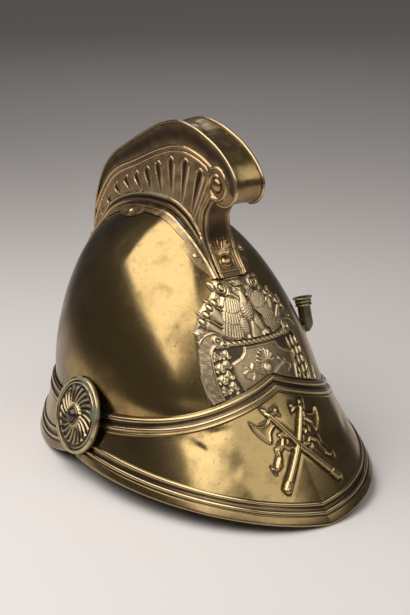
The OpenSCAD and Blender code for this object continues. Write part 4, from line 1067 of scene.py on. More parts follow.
back, back_triangles = panel(rim_line, 0.34, fill_step=1.6)
high = plate_relief(flat)
rim_gap, _ = segments_gap(flat, looped(rim_line))
cut = np.clip(rim_gap / 0.8, 0, 1)
ground = 0.07 * waves(flat, 3.2, 41) + 0.05 * waves(flat, 1.6, 42)
lift = RELIEF_H * high * cut + ground * cut
shade = np.clip(-0.8 + 2.1 * high, -1, 1) + 0.2 * waves(flat, 12, 43)
front = slab(front_pt(flat[:, 0], flat[:, 1], FIT + SHEET + lift), triangles,
             front_pt(back[:, 0], back[:, 1], np.full(len(back), FIT)), back_triangles,
             relief=shade, seam=0.15 * np.clip(1 - high * 2, 0, 1) + 0.4 * np.exp(-rim_gap / 1.2))
piece("front_plate_eagle", [front], chased, "chased_brass", "front_plate", crease=70)

# Peak: a flared sheet raised to a point in the middle of its top edge, with pressed beads along top
# and rim, riveted to the skull. The rim stands on its tip and arches over the ears.
PEAK_TIP = 191.9
PEAK_HALF_W = 107.8
PEAK_WIDE_Y = 35.7
PEAK_REACH = PEAK_TIP - PEAK_WIDE_Y
ARCH_Z = 13.7
GUARD_HALF_W = 106
GUARD_REACH = 146
GUARD_TOP = 50
ROSETTE_Y = 8
SIDE_GAP = 3.5
BINDING_W = 7
BINDING_T = 0.7
BEAD_H = 1.4
TOP_BEADS = (3, 10)
TOP_LINE = 13.6
RIM_BEADS = (16.5, 9.8)
peak_end = math.degrees(math.acos((ROSETTE_Y + SIDE_GAP) / FRONT))
peak_rim_end = math.degrees(math.acos((ROSETTE_Y + SIDE_GAP - PEAK_WIDE_Y) / PEAK_REACH))
guard_end = math.degrees(math.acos((ROSETTE_Y - SIDE_GAP) / FRONT))
guard_rim_end = math.degrees(math.acos((ROSETTE_Y - SIDE_GAP) / GUARD_REACH))


def peak_top(k):
    """The peak's top edge on the skull, from -1 on the wearer's left to 1 on the right."""
    t = k * peak_end
    return skull_pt(t, peak_top_z(t), FIT)


def peak_rim(k):
    """The peak's rim, an ellipse seen from above that rises towards the ears."""
    t = k * peak_rim_end
    r = np.radians(t)
    return np.stack([-PEAK_HALF_W * np.sin(r), -PEAK_WIDE_Y - PEAK_REACH * np.cos(r),
                     ARCH_Z * (1 - np.clip(1 - np.abs(t) / 90, 0, 1) ** 2)], -1)


def guard_top_z(t):
    return GUARD_TOP + (TOP_SIDE - GUARD_TOP) * np.abs(np.sin(np.radians(t))) ** 4


def guard_top(k):
    """The neck guard's top edge on the skull, from -1 on the wearer's right to 1 on the left."""
    t = 180 + k * (180 - guard_end)
    return skull_pt(t, guard_top_z(t), FIT)


def guard_rim(k):
    """The neck guard's rim, which stands on the ground behind and rises towards the ears."""
    t = np.radians(180 + k * (180 - guard_rim_end))
    v = np.clip((np.abs(k) * (180 - guard_rim_end) - 60) / 30, 0, 1)
    return np.stack([-GUARD_HALF_W * np.sin(t), -GUARD_REACH * np.cos(t), ARCH_Z * v ** 2], -1)


def flare(top, rim, k, s, n):
    """A place on a flared sheet: s up from its rim, n out from its inner face."""
    k, s, n = np.broadcast_arrays(np.asarray(k, float), s, n)
    e = 0.004

    def frame_at(q):
        up = top(q) - rim(q)
        up /= np.linalg.norm(up, axis=-1)[..., None]
        along = (rim(q + e) + top(q + e)) - (rim(q - e) + top(q - e))
        out = np.cross(up, along)
        return up, out / np.linalg.norm(out, axis=-1)[..., None]

    up, out = frame_at(k)
    return rim(k) + s[..., None] * up + n[..., None] * out


def slant(top, rim, k):
    """Length of a flared sheet from its rim to its top edge."""
    return np.linalg.norm(top(k) - rim(k), axis=-1)


def flare_beads(s, length):
    """Height and shade of the pressed beads along the top edge and the rim of a flared sheet."""
    h, shade = np.zeros(s.shape), np.zeros(s.shape)
    from_top = length - s
    for gap, half, high in ((from_top - TOP_BEADS[0], 2.0, 1.25), (from_top - TOP_BEADS[1], 1.7, 1.1),
                            (from_top - TOP_LINE, 0.8, 0.35), (s - RIM_BEADS[0], 1.7, 1.2),
                            (s - RIM_BEADS[1], 1.7, 1.2)):
        bead = rounded(gap, half)
        h = np.maximum(h, BEAD_H / 1.25 * high * bead)
        shade = np.maximum(shade, 0.85 * bead * min(1, high))
        shade = np.where(bead > 0, shade, shade - 0.7 * np.exp(-((np.abs(gap) - half) / 0.7) ** 2))
    top_trough = np.clip(1 - np.abs(from_top - np.mean(TOP_BEADS)) / 2.3, 0, 1) ** 0.5
    rim_trough = np.clip(1 - np.abs(s - np.mean(RIM_BEADS)) / 2.2, 0, 1) ** 0.5
    return h - 0.5 * top_trough - 0.3 * rim_trough, shade - 0.7 * top_trough - 0.45 * rim_trough


# The emblem's outline: crossed axes with ribbons, as lines of u (to the wearer's left), s and half width
AXE_HEAD = np.array([17.8, 89.4])
AXE_FOOT = np.array([-24, 26.4])
HANDLE_R = 2.1
BLADE = spline([[13.2, 77.5], [15.6, 83.6], [18.6, 80.4], [22.4, 77.9], [27, 76.8], [31.6, 78.8], [31.4, 74],
                [29, 69.4], [26, 66], [22.2, 63.6], [19.9, 67], [18.8, 71.4], [16, 75]], 4)
PICK_LINE = [[16.2, 87, 2.0], [12, 88, 1.4], [9.4, 88.6, 1.5], [7.2, 90.8, 1.4]]
PRONG_LINE = [[9.4, 88.6, 1.5], [6.6, 86.9, 1.1]]
RIBBON_LINE = [[2, 67, 1.1], [6, 70, 1.5], [9.6, 71.4, 1.7], [12, 70, 1.7], [10.8, 67.8, 1.3],
               [13.4, 62.4, 1.5], [18.2, 58.8, 1.9], [19.2, 52.6, 1.4], [21.6, 48, 2.0],
               [24.2, 44.2, 1.2], [27, 43.4, 1.5], [27.4, 40.2, 0.9]]
BOW_LINE = [[2, 59.5, 1.0], [6, 61.2, 1.5], [9.6, 60.4, 1.6], [12.4, 62.8, 1.3]]


def line_gap(p, line):
    """Distance outside a line of varying half width, distance to its middle over that width, and how
    far along it the nearest place is."""
    line = np.asarray(line, float)
    gap, along = segments_gap(p, line[:, :2])
    run = run_along(line[:, :2])
    half = np.interp(along, run / run[-1], line[:, 2])
    return gap - half, gap / half, along


def emblem_gap(p):
    """Distance outside the emblem's outline on the peak."""
    gaps = []
    for way in (-1, 1):
        q = p * [way, 1]
        gaps.append(segments_gap(q, [AXE_FOOT, AXE_HEAD])[0] - HANDLE_R)
        gaps += [line_gap(q, line)[0] for line in (PICK_LINE, PRONG_LINE, RIBBON_LINE, BOW_LINE)]
        gaps.append(edge_gap(q, BLADE))
    return np.min(gaps, 0)


peak_len = float(slant(peak_top, peak_rim, np.array(0.0)))


def peak_half(s):
    """Half the width of the peak, along its curve, at s above its rim."""
    return np.radians(PEAK_HALF_W * peak_rim_end * (1 - s / peak_len) + HALF_W * peak_end * s / peak_len)


def peak_u(k, s):
    """Distance across the peak to the wearer's left."""
    return -k * peak_half(s)


def peak_k(u, s):
    """The share k across the peak at which peak_u is u."""
    return -u / peak_half(s)


RIM_ZONE, RIM_ROWS = 19, 42
TOP_ZONE, TOP_ROWS = 15, 36


def flare_piece(name, top, rim, half_steps, plain_rows, finish, slot, node_name, dents, seed, groove=None):
    """A flared sheet with its beads, dents, painted shade and painted highlights; its rows lie closest along
    the beads.
    """
    even = np.linspace(-1, 1, 2 * half_steps + 1)
    k = (0.65 * even + 0.35 * even ** 3)[None, :]
    length = slant(top, rim, k)
    middle = np.linspace(0, 1, plain_rows + 2)[1:-1, None]
    s = np.concatenate([np.linspace(1, RIM_ZONE, RIM_ROWS)[:, None] + 0 * length,
                        RIM_ZONE + (length - (RIM_ZONE + TOP_ZONE)) * middle,
                        length - np.linspace(TOP_ZONE, 0, TOP_ROWS)[:, None]])
    rows = len(s)
    h, shade = flare_beads(s, length)
    flat = flare(top, rim, k, s, SHEET)
    plain = np.clip((s - 18) / 5, 0, 1) * np.clip((length - s - 14) / 5, 0, 1)
    beaten = 0.16 * waves(flat, 38, seed) + 0.05 * waves(flat, 15, seed + 1)
    for (u, at_s), (reach_u, reach_s), depth, turn in dents:
        du = peak_u(k, s) - u
        ds = s - at_s
        c, w = math.cos(math.radians(turn)), math.sin(math.radians(turn))
        beaten -= depth * np.exp(-((du * c + ds * w) / reach_u) ** 2 - ((ds * c - du * w) / reach_s) ** 2)
    h = h + beaten * (0.25 + 0.75 * plain)
    if groove is not None:
        near = groove(np.stack([peak_u(k, s).ravel(), s.ravel()], 1)).reshape(s.shape)
        ring_dip = np.exp(-((near - 0.8) / 1.0) ** 2)
        h -= 0.45 * ring_dip
        # Painted shade in the groove round the emblem
        shade -= 1.2 * np.clip(1 - near / 1.7, 0, 1) ** 0.8
    # Random tone, with the sides towards the ears painted darker as painted shade
    tone = 0.3 * waves(flat, 30, seed + 2) - 0.3 * np.clip((np.abs(k) - 0.55) / 0.3, 0, 1)
    outer = flare(top, rim, k, s, SHEET + h)
    inner = flare(top, rim, k, s, 0.35 * h)
    edge_dirt = 0.35 * np.exp(-(length - s) / 2.5) + 0.3 * np.exp(-(s - BINDING_W) ** 2 / 3)
    sheet_part = shell(outer, inner, quads(rows, 2 * half_steps + 1),
                       relief=np.clip(shade + tone * (np.abs(shade) < 0.2), -1, 1), seam=edge_dirt)
    piece(name, [sheet_part], finish, slot, node_name)


peak_brass = old_brass("peak_polished_brass", (0.41, 0.3, 0.13), (0.09, 0.06, 0.025), age=0.9,
                       green=0.5, polish=0.16)
# Dents of the peak: place, reaches, depth and turn
peak_dents = [((-75, 49), (7, 6), 0.9, 0), ((-52, 42), (9, 4), 0.2, 60), ((-44, 36), (8, 4), 0.2, 35),
              ((-62, 66), (12, 5), 0.4, 20), ((44, 52), (12, 6), 0.5, 0), ((72, 44), (10, 7), 0.6, 0),
              ((-100, 60), (12, 8), 0.5, 0), ((-28, 60), (6, 9), 0.35, 10)]
flare_piece("peak_sheet", peak_top, peak_rim, 195, 45, peak_brass, "peak_brass", "peak", peak_dents, 51,
            groove=emblem_gap)

# Peak emblem: two crossed axes tied with a ribbon, struck in brass sheet and soldered to the peak. The
# tubular handles stand highest, and each ends in a ferrule; one crosses over the other.
emblem_brass = old_brass("emblem_brass", (0.5, 0.36, 0.15), (0.11, 0.07, 0.04), age=0.45, green=0.35,
                         polish=0.2)


def emblem_relief(p):
    """Height over the peak's face and shade of the crossed axes and their ribbon."""
    h = np.full(len(p), -1.5)
    shade = np.zeros(len(p))

    def lay(values, mask, tone):
        """Lays a form over what is lower than it."""
        nonlocal h, shade
        over = mask & (values > h)
        h = np.where(over, values, h)
        shade = np.where(over, tone, shade)

    for way in (-1, 1):
        q = p * [way, 1]
        for line in (RIBBON_LINE, BOW_LINE):
            gap, off, along = line_gap(q, line)
            fold = 0.55 + 0.45 * np.cos(off * math.pi) ** 2 + 0.25 * np.sin(along * 19)
            values = np.minimum(-gap * 0.9 - 0.35, 0.25 + 0.9 * fold)
            lay(values, gap < 0.5, np.clip(0.9 * fold - 0.5, -1, 1))
        gap = edge_gap(q, BLADE)
        lip = np.exp(-((-gap - 0.75) / 0.6) ** 2)
        hollow = 0.9 + 0.75 * lip - 0.12 * np.clip(-gap, 0, 5)
        lay(np.minimum(-gap * 1.6 - 0.3, hollow), gap < 0.5, np.clip(lip - 0.1 * np.clip(-gap, 0, 5), -1, 1))
        for line in (PICK_LINE, PRONG_LINE):
            gap, off, _ = line_gap(q, line)
            lay(np.minimum(-gap * 1.2 - 0.3, 1.5 - 0.4 * off), gap < 0.5, 0.5 - 0.6 * off)
    for way, up in ((1, 0.0), (-1, 0.9)):
        q = p * [way, 1]
        gap, along = segments_gap(q, [AXE_FOOT, AXE_HEAD])
        ferrule = (along < 0.115) * (along > 0.0)
        radius = HANDLE_R + 0.7 * ferrule + 0.2 * (np.abs(along - 0.5) < 0.03)
        tube = rounded(gap, radius)
        tip = np.clip((1.0 - along) / 0.06, 0.35, 1)
        values = (tube * (2.3 + 0.35 * ferrule) * tip + up * tip) * (tube > 0) - 0.35
        slot_cut = np.exp(-((along - 0.075) / 0.03) ** 4) * (np.abs(gap) < 0.8) * 0.9
        lay(values - slot_cut * (way > 0), tube > 0, np.clip(1.7 * tube - 0.75 - 1.2 * slot_cut, -1, 1))
    return h, shade


emblem_outline = np.array([[-34, 96], [34, 96], [42, 78], [40, 62], [34, 36], [28, 18], [-28, 18], [-34, 36],
                           [-40, 62], [-42, 78]])
flat, triangles = panel(emblem_outline, 0.4)
high, shade = emblem_relief(flat)
kept = triangles[(high[triangles] > -0.6).any(1)]
used, kept = np.unique(kept, return_inverse=True)
kept = kept.reshape(-1, 3)
flat, high, shade = flat[used], np.maximum(high[used], -0.45), shade[used]
k_at = peak_k(flat[:, 0], flat[:, 1])
emblem = shell(flare(peak_top, peak_rim, k_at, flat[:, 1], SHEET + high),
               flare(peak_top, peak_rim, k_at, flat[:, 1], np.full(len(flat), SHEET - 0.6)), kept,
               relief=shade, seam=0.2)
piece("peak_crossed_axes", [emblem], emblem_brass, "peak_brass", "peak_emblem", crease=60)

# Neck guard: the second flared sheet, low and wide behind, of the same brass and beaded like the peak.
# It is riveted to the skull's lower edge and stands on the ground.
guard_brass = old_brass("neck_guard_brass", (0.4, 0.29, 0.12), (0.12, 0.08, 0.04), age=0.75, green=0.5,
                        polish=0.18)
guard_dents = [((20, 30), (10, 6), 0.6, 0), ((-60, 28), (9, 6), 0.5, 0), ((90, 30), (12, 5), 0.5, 0)]
flare_piece("neck_guard_sheet", guard_top, guard_rim, 170, 14, guard_brass, "guard_brass", "neck_guard",
            guard_dents, 61)

# Edge bindings: a brass strip folded over the rim of the peak and of the neck guard, hammered down and
# soldered, and worn flat where the helmet stands.
trim_brass = old_brass("folded_trim_brass", (0.34, 0.24, 0.11), (0.09, 0.06, 0.03), age=0.85, green=0.35,
                       polish=0.22)
BACK_N = -FIT - BINDING_T
FACE_N = SHEET + FIT + BINDING_T
fold = np.linspace(-90, 90, 9)
strip = [[BINDING_W, BACK_N + 0.15], [BINDING_W - 0.4, BACK_N], [2, BACK_N]]
strip += [[0.95 - 0.95 * math.cos(math.radians(a)), (BACK_N + FACE_N) / 2 + (FACE_N - BACK_N) / 2
           * math.sin(math.radians(a))] for a in fold]
strip += [[2.2, FACE_N], [BINDING_W - 1.0, FACE_N - 0.1], [BINDING_W - 0.3, FACE_N - 0.15],
          [BINDING_W, FACE_N - 0.45], [BINDING_W, SHEET + 0.1], [1.4, SHEET + 0.1], [1.4, -0.1],
          [BINDING_W, -0.1]]
strip = np.array(strip)
strip_shade = np.array([0, 0, 0, 0.3, 0.4, 0.6, 0.8, 0.9, 0.9, 0.8, 0.6, 0.4, 0.1, 0, 0.3, -0.5, -0.8, -1, -1,
                        -0.5])
for name, top, rim, steps, seed in (("peak", peak_top, peak_rim, 230, 71),
                                    ("neck_guard", guard_top, guard_rim, 170, 74)):
    k = np.linspace(-1, 1, 2 * steps + 1)[:, None]
    ripple = 0.12 * waves(flare(top, rim, k, 0.0, 0.0), 19, seed)
    rings = flare(top, rim, k, strip[None, :, 0], strip[None, :, 1] + ripple)
    rings[..., 2] = np.maximum(rings[..., 2], 0)
    m = len(strip)
    ends = np.array([[i, i + 1, m - 2 - i, m - 1 - i] for i in range(m // 2 - 1)])
    ends = np.concatenate([ends, (ends + (2 * steps) * m)[:, ::-1]])
    folded = part(rings, quads(2 * steps + 1, m, True), ends,
                  relief=np.broadcast_to(strip_shade, rings.shape[:2]).ravel(), seam=0.15)
    piece(f"{name}_folded_binding", [folded], trim_brass, "trim_brass", f"{name}_edge_binding", crease=50)

# Rosettes: discs struck with swirled flutes round a raised seat, one over each joint of peak and
# neck guard. A threaded stud behind each passes through the skull to a washer and nut.
ROSETTE_R = 30.4
ROSETTE_Z = 46.4
FLUTES = 22
DISH = 3.5
BOSS_R = 6
side_top_x = float(wall_w(TOP_SIDE)) + FIT
side_rim_x = PEAK_HALF_W * math.sin(math.radians(peak_rim_end))
tilt = math.atan2(side_rim_x - side_top_x, TOP_SIDE - ARCH_Z)
over_beads = (SHEET + BEAD_H + FIT) / math.cos(tilt)
rosette_x = max(side_top_x + (TOP_SIDE - ROSETTE_Z) * math.tan(tilt) + over_beads,
                float(wall_w(ROSETTE_Z + ROSETTE_R * math.cos(tilt))) + FIT + ROSETTE_R * math.sin(tilt))
rosette_brass = old_brass("rosette_brass", (0.46, 0.36, 0.2), (0.1, 0.07, 0.04), age=0.5, hollows=1.0,
                          green=0.9, polish=0.24, recess=(0.045, 0.034, 0.022))
boss_brown = old_brass("rosette_boss_brown", (0.11, 0.07, 0.065), (0.045, 0.028, 0.032), age=0.8, green=0.4,
                       polish=0.27)


def at_rosette(q):
    """Puts points of a rosette, drawn flat with +Z outwards, on the wearer's right side."""
    turn = -math.pi / 2 + tilt
    x = q[..., 0] * math.cos(turn) + q[..., 2] * math.sin(turn)
    z = -q[..., 0] * math.sin(turn) + q[..., 2] * math.cos(turn)
    return np.stack([x - rosette_x, q[..., 1] - ROSETTE_Y, z + ROSETTE_Z], -1)


def disc(r, a, z):
    """Points at radius r, angle a in radians and height z."""
    return np.stack([r * np.cos(a), r * np.sin(a), z], -1)


flute_in, flute_out = BOSS_R + 2.6, ROSETTE_R - 7
r = np.concatenate([np.linspace(4.5, flute_in, 6)[:-1], np.linspace(flute_in, flute_out, 28),
                    np.linspace(flute_out, ROSETTE_R, 18)[1:]])[:, None]
a = np.linspace(0, 2 * math.pi, FLUTES * 14, endpoint=False)[None, :]
v = np.clip((r - flute_in) / (flute_out - flute_in), 0, 1)
phase = (a + np.radians(24) * v) * FLUTES / (2 * math.pi) % 1
across = np.sin(math.pi * phase)
# A scoop ends in a round, so between two of them the ridge widens
scoop = across ** 0.7 * np.clip((flute_out - 2.4 * (1 - across) - r) / 1.3, 0, 1) ** 0.5
scoop *= np.clip(v / 0.12, 0, 1) ** 0.5
dish = DISH * (1 - (r / ROSETTE_R) ** 2)
z = 1.9 - 1.5 * scoop + dish
shade = np.clip(1.1 - 2.2 * scoop, -1, 1) * (r > flute_in)
shade = np.where(r > flute_out - 0.6, -0.75, shade)
for centre, half, high, tone in ((ROSETTE_R - 1.7, 1.7, 0.95, 1.0), (ROSETTE_R - 5.0, 0.5, 0.45, 0.8),
                                 (BOSS_R + 2.0, 0.6, 0.6, 0.7)):
    bead = rounded(r - centre, half)
    z = z + high * bead
    shade = np.where(bead > 0.3, tone * bead, shade)
groove_r = np.exp(-((r - (ROSETTE_R - 3.8)) / 0.45) ** 2)
z = z - 0.55 * groove_r - 1.2 * (r > ROSETTE_R - 0.5) * (r - ROSETTE_R + 0.5) / 0.5
shade = shade - 1.2 * groove_r + 0 * a
z = z + 0.07 * waves(disc(r, a, 0 * r * a), 9, 81)
front_face = disc(r + 0 * a, a + 0 * r, z)
back_face = disc(r + 0 * a, a + 0 * r, 0.9 * dish + 0 * a)
green = (0.25 + 0.6 * (np.sin(a + 2.2) > 0.2)) * (0.3 + 0.7 * (r > 20)) + 0 * a
disc_part = shell(at_rosette(front_face), at_rosette(back_face), quads(len(r), a.size, True),
                  relief=shade, seam=green)
profile = np.array([[4.15, 0.1], [4.15, 1.75], [6.6, 1.75], [7.0, 2.1], [7.0, 2.6], [6.5, 3.05], [5.9, 3.0],
                    [5.5, 2.7], [5.1, 3.2], [4.6, 4.2], [3.7, 5.1], [2.6, 5.8], [1.3, 6.25], [0.45, 6.35]])
HUB_SIDES = 48
turn = np.linspace(0, 2 * math.pi, HUB_SIDES, endpoint=False)
hub = disc(profile[:, :1] + 0 * turn, turn + 0 * profile[:, :1], profile[:, 1:] + 0 * turn)
hub = np.concatenate([hub.reshape(-1, 3), [[0, 0, 6.4], [0, 0, 0.1]]]) + [0, 0, DISH]
n = len(profile) * HUB_SIDES
j = np.arange(HUB_SIDES)
k = (j + 1) % HUB_SIDES
outer_ring = n - HUB_SIDES
hub_caps = np.concatenate([np.stack([outer_ring + j, outer_ring + k, np.full(HUB_SIDES, n)], 1),
                           np.stack([k, j, np.full(HUB_SIDES, n + 1)], 1)])
hub_shade = np.repeat([0, 0, -0.6, 0.2, 0.6, 0.4, -0.5, -0.9, -0.3, 0.1, 0.2, 0.3, 0.4, 0.4], HUB_SIDES)
hub_part = part(at_rosette(hub), quads(len(profile), HUB_SIDES, True), hub_caps,
                relief=np.append(hub_shade, [0.4, 0]), seam=0.2)
for name, flip in (("right", lambda x: x), ("left", mirrored)):
    piece(f"rosette_disc_{name}", [flip(disc_part)], rosette_brass, "rosette_brass", f"rosette_{name}")
    piece(f"rosette_hub_{name}", [flip(hub_part)], boss_brown, "dark_boss", f"rosette_boss_{name}")

# Plume socket: a tapered tube with a rolled and flared mouth, brazed to a small bracket on the
# wearer's left. It was never polished, and the verdigris is thickest here.
mount = next(m for m in frame["record"]["mounts"] if m["name"] == "plume_socket")
socket_axis = np.array(mount["axis"])
SOCKET_R = mount["dims"]["r_mm"]
SOCKET_WALL = 0.8
SOCKET_DEPTH = 24
SOCKET_FLOOR = 0.9
COLLAR_H = 7
bore_mid = np.array(mount["pos_m"]) / MM - [0, AXIS_Y, 0]
socket_foot = bore_mid - socket_axis * (0.8 + mount["dims"]["length_mm"] / 2)
socket_green = old_brass("socket_green_brass", (0.3, 0.25, 0.14), (0.06, 0.07, 0.04), age=0.9, green=0.95,
                         polish=0.34)


def turned(profile, foot, axis, sides, relief=0.0, seam=0.0, wobble=0.0, seed=1):
    """A turned shape: its closed profile of radius and height is spun about an axis from foot."""
    profile = np.asarray(profile, float)
    axis = axis / np.linalg.norm(axis)
    side = np.cross(axis, [0.0, 1.0, 0.0])
    side /= np.linalg.norm(side)
    over = np.cross(axis, side)
    turn = np.linspace(0, 2 * math.pi, sides, endpoint=False)
    r = profile[:, :1] + 0 * turn
    local = np.stack([r * np.cos(turn), r * np.sin(turn), profile[:, 1:] + 0 * turn], -1)
    r = r + wobble * waves(local, 7, seed)
    place = foot + r[..., None] * (np.cos(turn)[:, None] * side + np.sin(turn)[:, None] * over)
    place = place + profile[:, 1][:, None, None] * axis
    rows = len(profile)
    i = np.arange(rows)[:, None]
    j = np.arange(sides)[None, :]
    k = (j + 1) % sides
    m = (i + 1) % rows
    faces = np.stack([x.ravel() for x in (i * sides + j, i * sides + k, m * sides + k, m * sides + j)], 1)
    shade = relief if np.ndim(relief) == 0 else np.repeat(relief, sides)
    return part(place, faces, relief=shade, seam=seam)


SOCKET_OUT = SOCKET_R + SOCKET_WALL
tube_profile = [[SOCKET_R, SOCKET_FLOOR], [SOCKET_R, 8], [SOCKET_R, 16], [SOCKET_R, 22],
                [SOCKET_R + 0.1, SOCKET_DEPTH], [SOCKET_OUT - 0.1, SOCKET_DEPTH], [SOCKET_OUT, 23.4],
                [SOCKET_OUT, 17], [SOCKET_OUT, 9], [SOCKET_OUT, 2], [SOCKET_OUT - 0.3, 0], [3.2, -2.6],
                [1.6, -4.6], [0.05, -4.9], [0.05, SOCKET_FLOOR]]
tube = turned(tube_profile, socket_foot, socket_axis, 40, relief=-0.2, seam=0.9, wobble=0.12, seed=91)
collar_profile = np.array([[0, 0], [1, 0.1], [1.35, 0.6], [1.2, 1.2], [0.7, 1.7], [0.6, 2.4], [1.2, 2.9],
                           [1.4, 3.5], [1.1, 4.0], [0.9, 4.5], [1.6, 5.4], [2.6, 6.3], [2.8, 6.7], [2.4, 7.0],
                           [1.4, 6.6], [0.6, 6.9], [0, 6.4]])
collar_shade = [0, 0.3, 0.7, 0.2, -0.8, -0.8, 0.2, 0.7, 0, -0.6, 0, 0.5, 0.9, 0.6, -0.2, 0, 0]
collar = turned(collar_profile + [SOCKET_OUT + 0.1, SOCKET_DEPTH - COLLAR_H], socket_foot, socket_axis, 48,
                relief=np.array(collar_shade), seam=0.75, wobble=0.22, seed=92)
piece("plume_tube", [tube], socket_green, "socket_patina", "plume_socket_tube")
piece("plume_collar", [collar], socket_green, "socket_patina", "plume_socket_collar")

# Sweatband: a leather band riveted inside the skull's lower edge and leaning in towards the brow. It
# is stitched along its upper hem.
BAND_H = 34
LEATHER = 2
BAND_LOW = BASE + 3
BAND_LEAN = 13
LINER_RIVETS = (30, 66, 114, 150)
LINER_RIVET_Z = BASE + 6
leather, given, result = group("worn_leather", [("Hide", "NodeSocketColor", (0.2, 0.1, 0.045, 1)),
                                                ("Grease", "NodeSocketColor", (0.05, 0.025, 0.012, 1))],
                               [("Color", "NodeSocketColor"), ("Roughness", "NodeSocketFloat"),
                                ("Height", "NodeSocketFloat")])
pores = leather.nodes.new("ShaderNodeTexVoronoi")
pores.inputs["Scale"].default_value = 900
leather_at = leather.nodes.new("ShaderNodeTexCoord")
leather.links.new(leather_at.outputs["Object"], pores.inputs["Vector"])
stain = band_node(leather, noise_node(leather, 28, 5), 0.4, 0.7)
crackle = noise_node(leather, 260, 4)
leather.links.new(mix_node(leather, math_node(leather, "MULTIPLY", stain, 0.8), given.outputs["Hide"],
                           given.outputs["Grease"]), result.inputs["Color"])
leather.links.new(math_node(leather, "ADD", 0.45, math_node(leather, "MULTIPLY", crackle, 0.3)),
                  result.inputs["Roughness"])
leather.links.new(math_node(leather, "ADD", math_node(leather, "MULTIPLY", pores.outputs["Distance"], 0.6),
                            math_node(leather, "MULTIPLY", crackle, 0.6)), result.inputs["Height"])


GRAIN_DEPTH = 0.3


def hide(name, colour, grease):
    """A finish of leather or waxed thread."""
    material, skin = skinned(name, leather, {"Hide": (*colour, 1), "Grease": (*grease, 1)},
                             (("Color", "Base Color"), ("Roughness", "Roughness")))
    roughened(material, skin.outputs["Height"], 0.6, GRAIN_DEPTH)
    return material


def band_pt(t, z, grow):
    """Points of the sweatband at turns t and heights z, grow out from the skull's inner face."""
    lean_in = BAND_LEAN * np.clip((z - LINER_RIVET_Z - 3) / BAND_H, 0, 1) ** 1.3
    p = skull_pt(t, np.minimum(z, SWELL_Z), grow - SHEET - FIT - lean_in)
    p[..., 2] = z
    return p


band_leather = hide("sweatband_leather", (0.19, 0.1, 0.05), (0.05, 0.028, 0.015))
BAND_TURNS = 240
BAND_ROWS = 15
t = np.linspace(0, 360, BAND_TURNS, endpoint=False)[None, :]
z = (BAND_LOW + BAND_H * np.linspace(0, 1, BAND_ROWS))[:, None]
edge = np.clip(np.minimum(z - BAND_LOW, BAND_LOW + BAND_H - z) / 0.9, 0.25, 1)
swell = 0.25 * waves(band_pt(t, z, 0), 30, 101) * np.clip((z - BAND_LOW) / 12, 0, 1)
leather_mid = -LEATHER / 2 - 0.1
band_out = band_pt(t, z, leather_mid + (LEATHER / 2 - 0.15) * edge)
band_in = band_pt(t, z, leather_mid - (LEATHER / 2 - 0.15) * edge - 0.3 + swell * 0.3)
piece("sweatband_leather", [shell(band_out, band_in, quads(BAND_ROWS, BAND_TURNS, True))], band_leather,
      "liner_leather", "liner_sweatband")

# Crown tongues: eight leather tongues sewn inside the sweatband, which carry the head under the dome.
# They narrow upwards, and a lace through their tips draws them together.
TONGUES = 8
CROWN_Z = FAN_Z + 22
LACE_R = 15
LACE_T = 1.2
TONGUE_ROWS = 10
TONGUE_LAP = 8
tongue_half = 0.76 * 180 / TONGUES
crown_clear = SHEET + 2.4 + 5


def tongue_pt(t, k, grow):
    """A place on a tongue: turn t, row k from the band to the lace, grow out from its middle."""
    top = BAND_LOW + BAND_H
    z = np.where(k < 2, top - TONGUE_LAP * (1 - k / 2), top)
    p = band_pt(t, z, -1.5 * LEATHER - FIT)
    turn = np.radians(t)
    q = (LACE_R + LACE_T + FIT) * np.stack([-np.sin(turn), -np.cos(turn)], -1)
    v = math.pi / 2 * np.clip(k - 2, 0, 99) / (TONGUE_ROWS - 2)
    c = np.cos(v)
    x, y = p[..., 0] * c + q[..., 0] * (1 - c), p[..., 1] * c + q[..., 1] * (1 - c)
    z = z + (CROWN_Z - z) * np.sin(v)
    length = np.where(y < 0, wall_front(z, -crown_clear), wall_back(z, -crown_clear))
    over = np.maximum(1, np.hypot(x / wall_w(z, -crown_clear), y / length))
    return np.stack([x / over - grow * np.sin(turn) * c, y / over - grow * np.cos(turn) * c,
                     z + grow * np.sin(v)], -1)


def tongue_cup(side, k):
    """How far a tongue sags between its edges."""
    return -0.9 * (1 - side ** 2) * np.sin(math.pi * k / TONGUE_ROWS)


crown_leather = hide("crown_leather", (0.26, 0.15, 0.075), (0.08, 0.045, 0.02))
TONGUE_CUTS = (44, 21)
side = np.linspace(-1, 1, TONGUE_CUTS[1])[None, :]
k = np.linspace(0, TONGUE_ROWS, TONGUE_CUTS[0])[:, None]
tongues = []
for i in range(TONGUES):
    mid = (i + 0.5) * 360 / TONGUES
    t = mid + side * tongue_half
    rim_thin = np.clip((1 - np.abs(side)) * 12, 0.3, 1)
    cup = tongue_cup(side, k)
    outer = tongue_pt(t, k, cup + (LEATHER / 2 - 0.1) * rim_thin)
    inner = tongue_pt(t, k, cup - (LEATHER / 2 - 0.1) * rim_thin)
    tongues.append(shell(outer, inner, quads(*TONGUE_CUTS)))
piece("crown_leather_tongues", tongues, crown_leather, "liner_leather", "liner_crown")

# Lace: a waxed cord of two plies, threaded through the tips of the tongues and tied into a ring over
# the crown. It sets how deep the helmet sits.
lace_wax = hide("waxed_lace_finish", (0.09, 0.065, 0.045), (0.03, 0.02, 0.015))
LAY_TURNS = 26
PLY_OFF = 0.55
PLY_R = 0.62
round_a = np.linspace(0, 2 * math.pi, 400)
plies = []
for ply in (0, math.pi):
    twist = LAY_TURNS * round_a + ply
    r = LACE_R + PLY_OFF * np.cos(twist)
    path = np.stack([r * np.cos(round_a), r * np.sin(round_a), CROWN_Z + PLY_OFF * np.sin(twist)], 1)
    plies.append(sweep(path, PLY_R, 8))
piece("crown_lace", plies, lace_wax, "waxed_lace", "liner_lace")

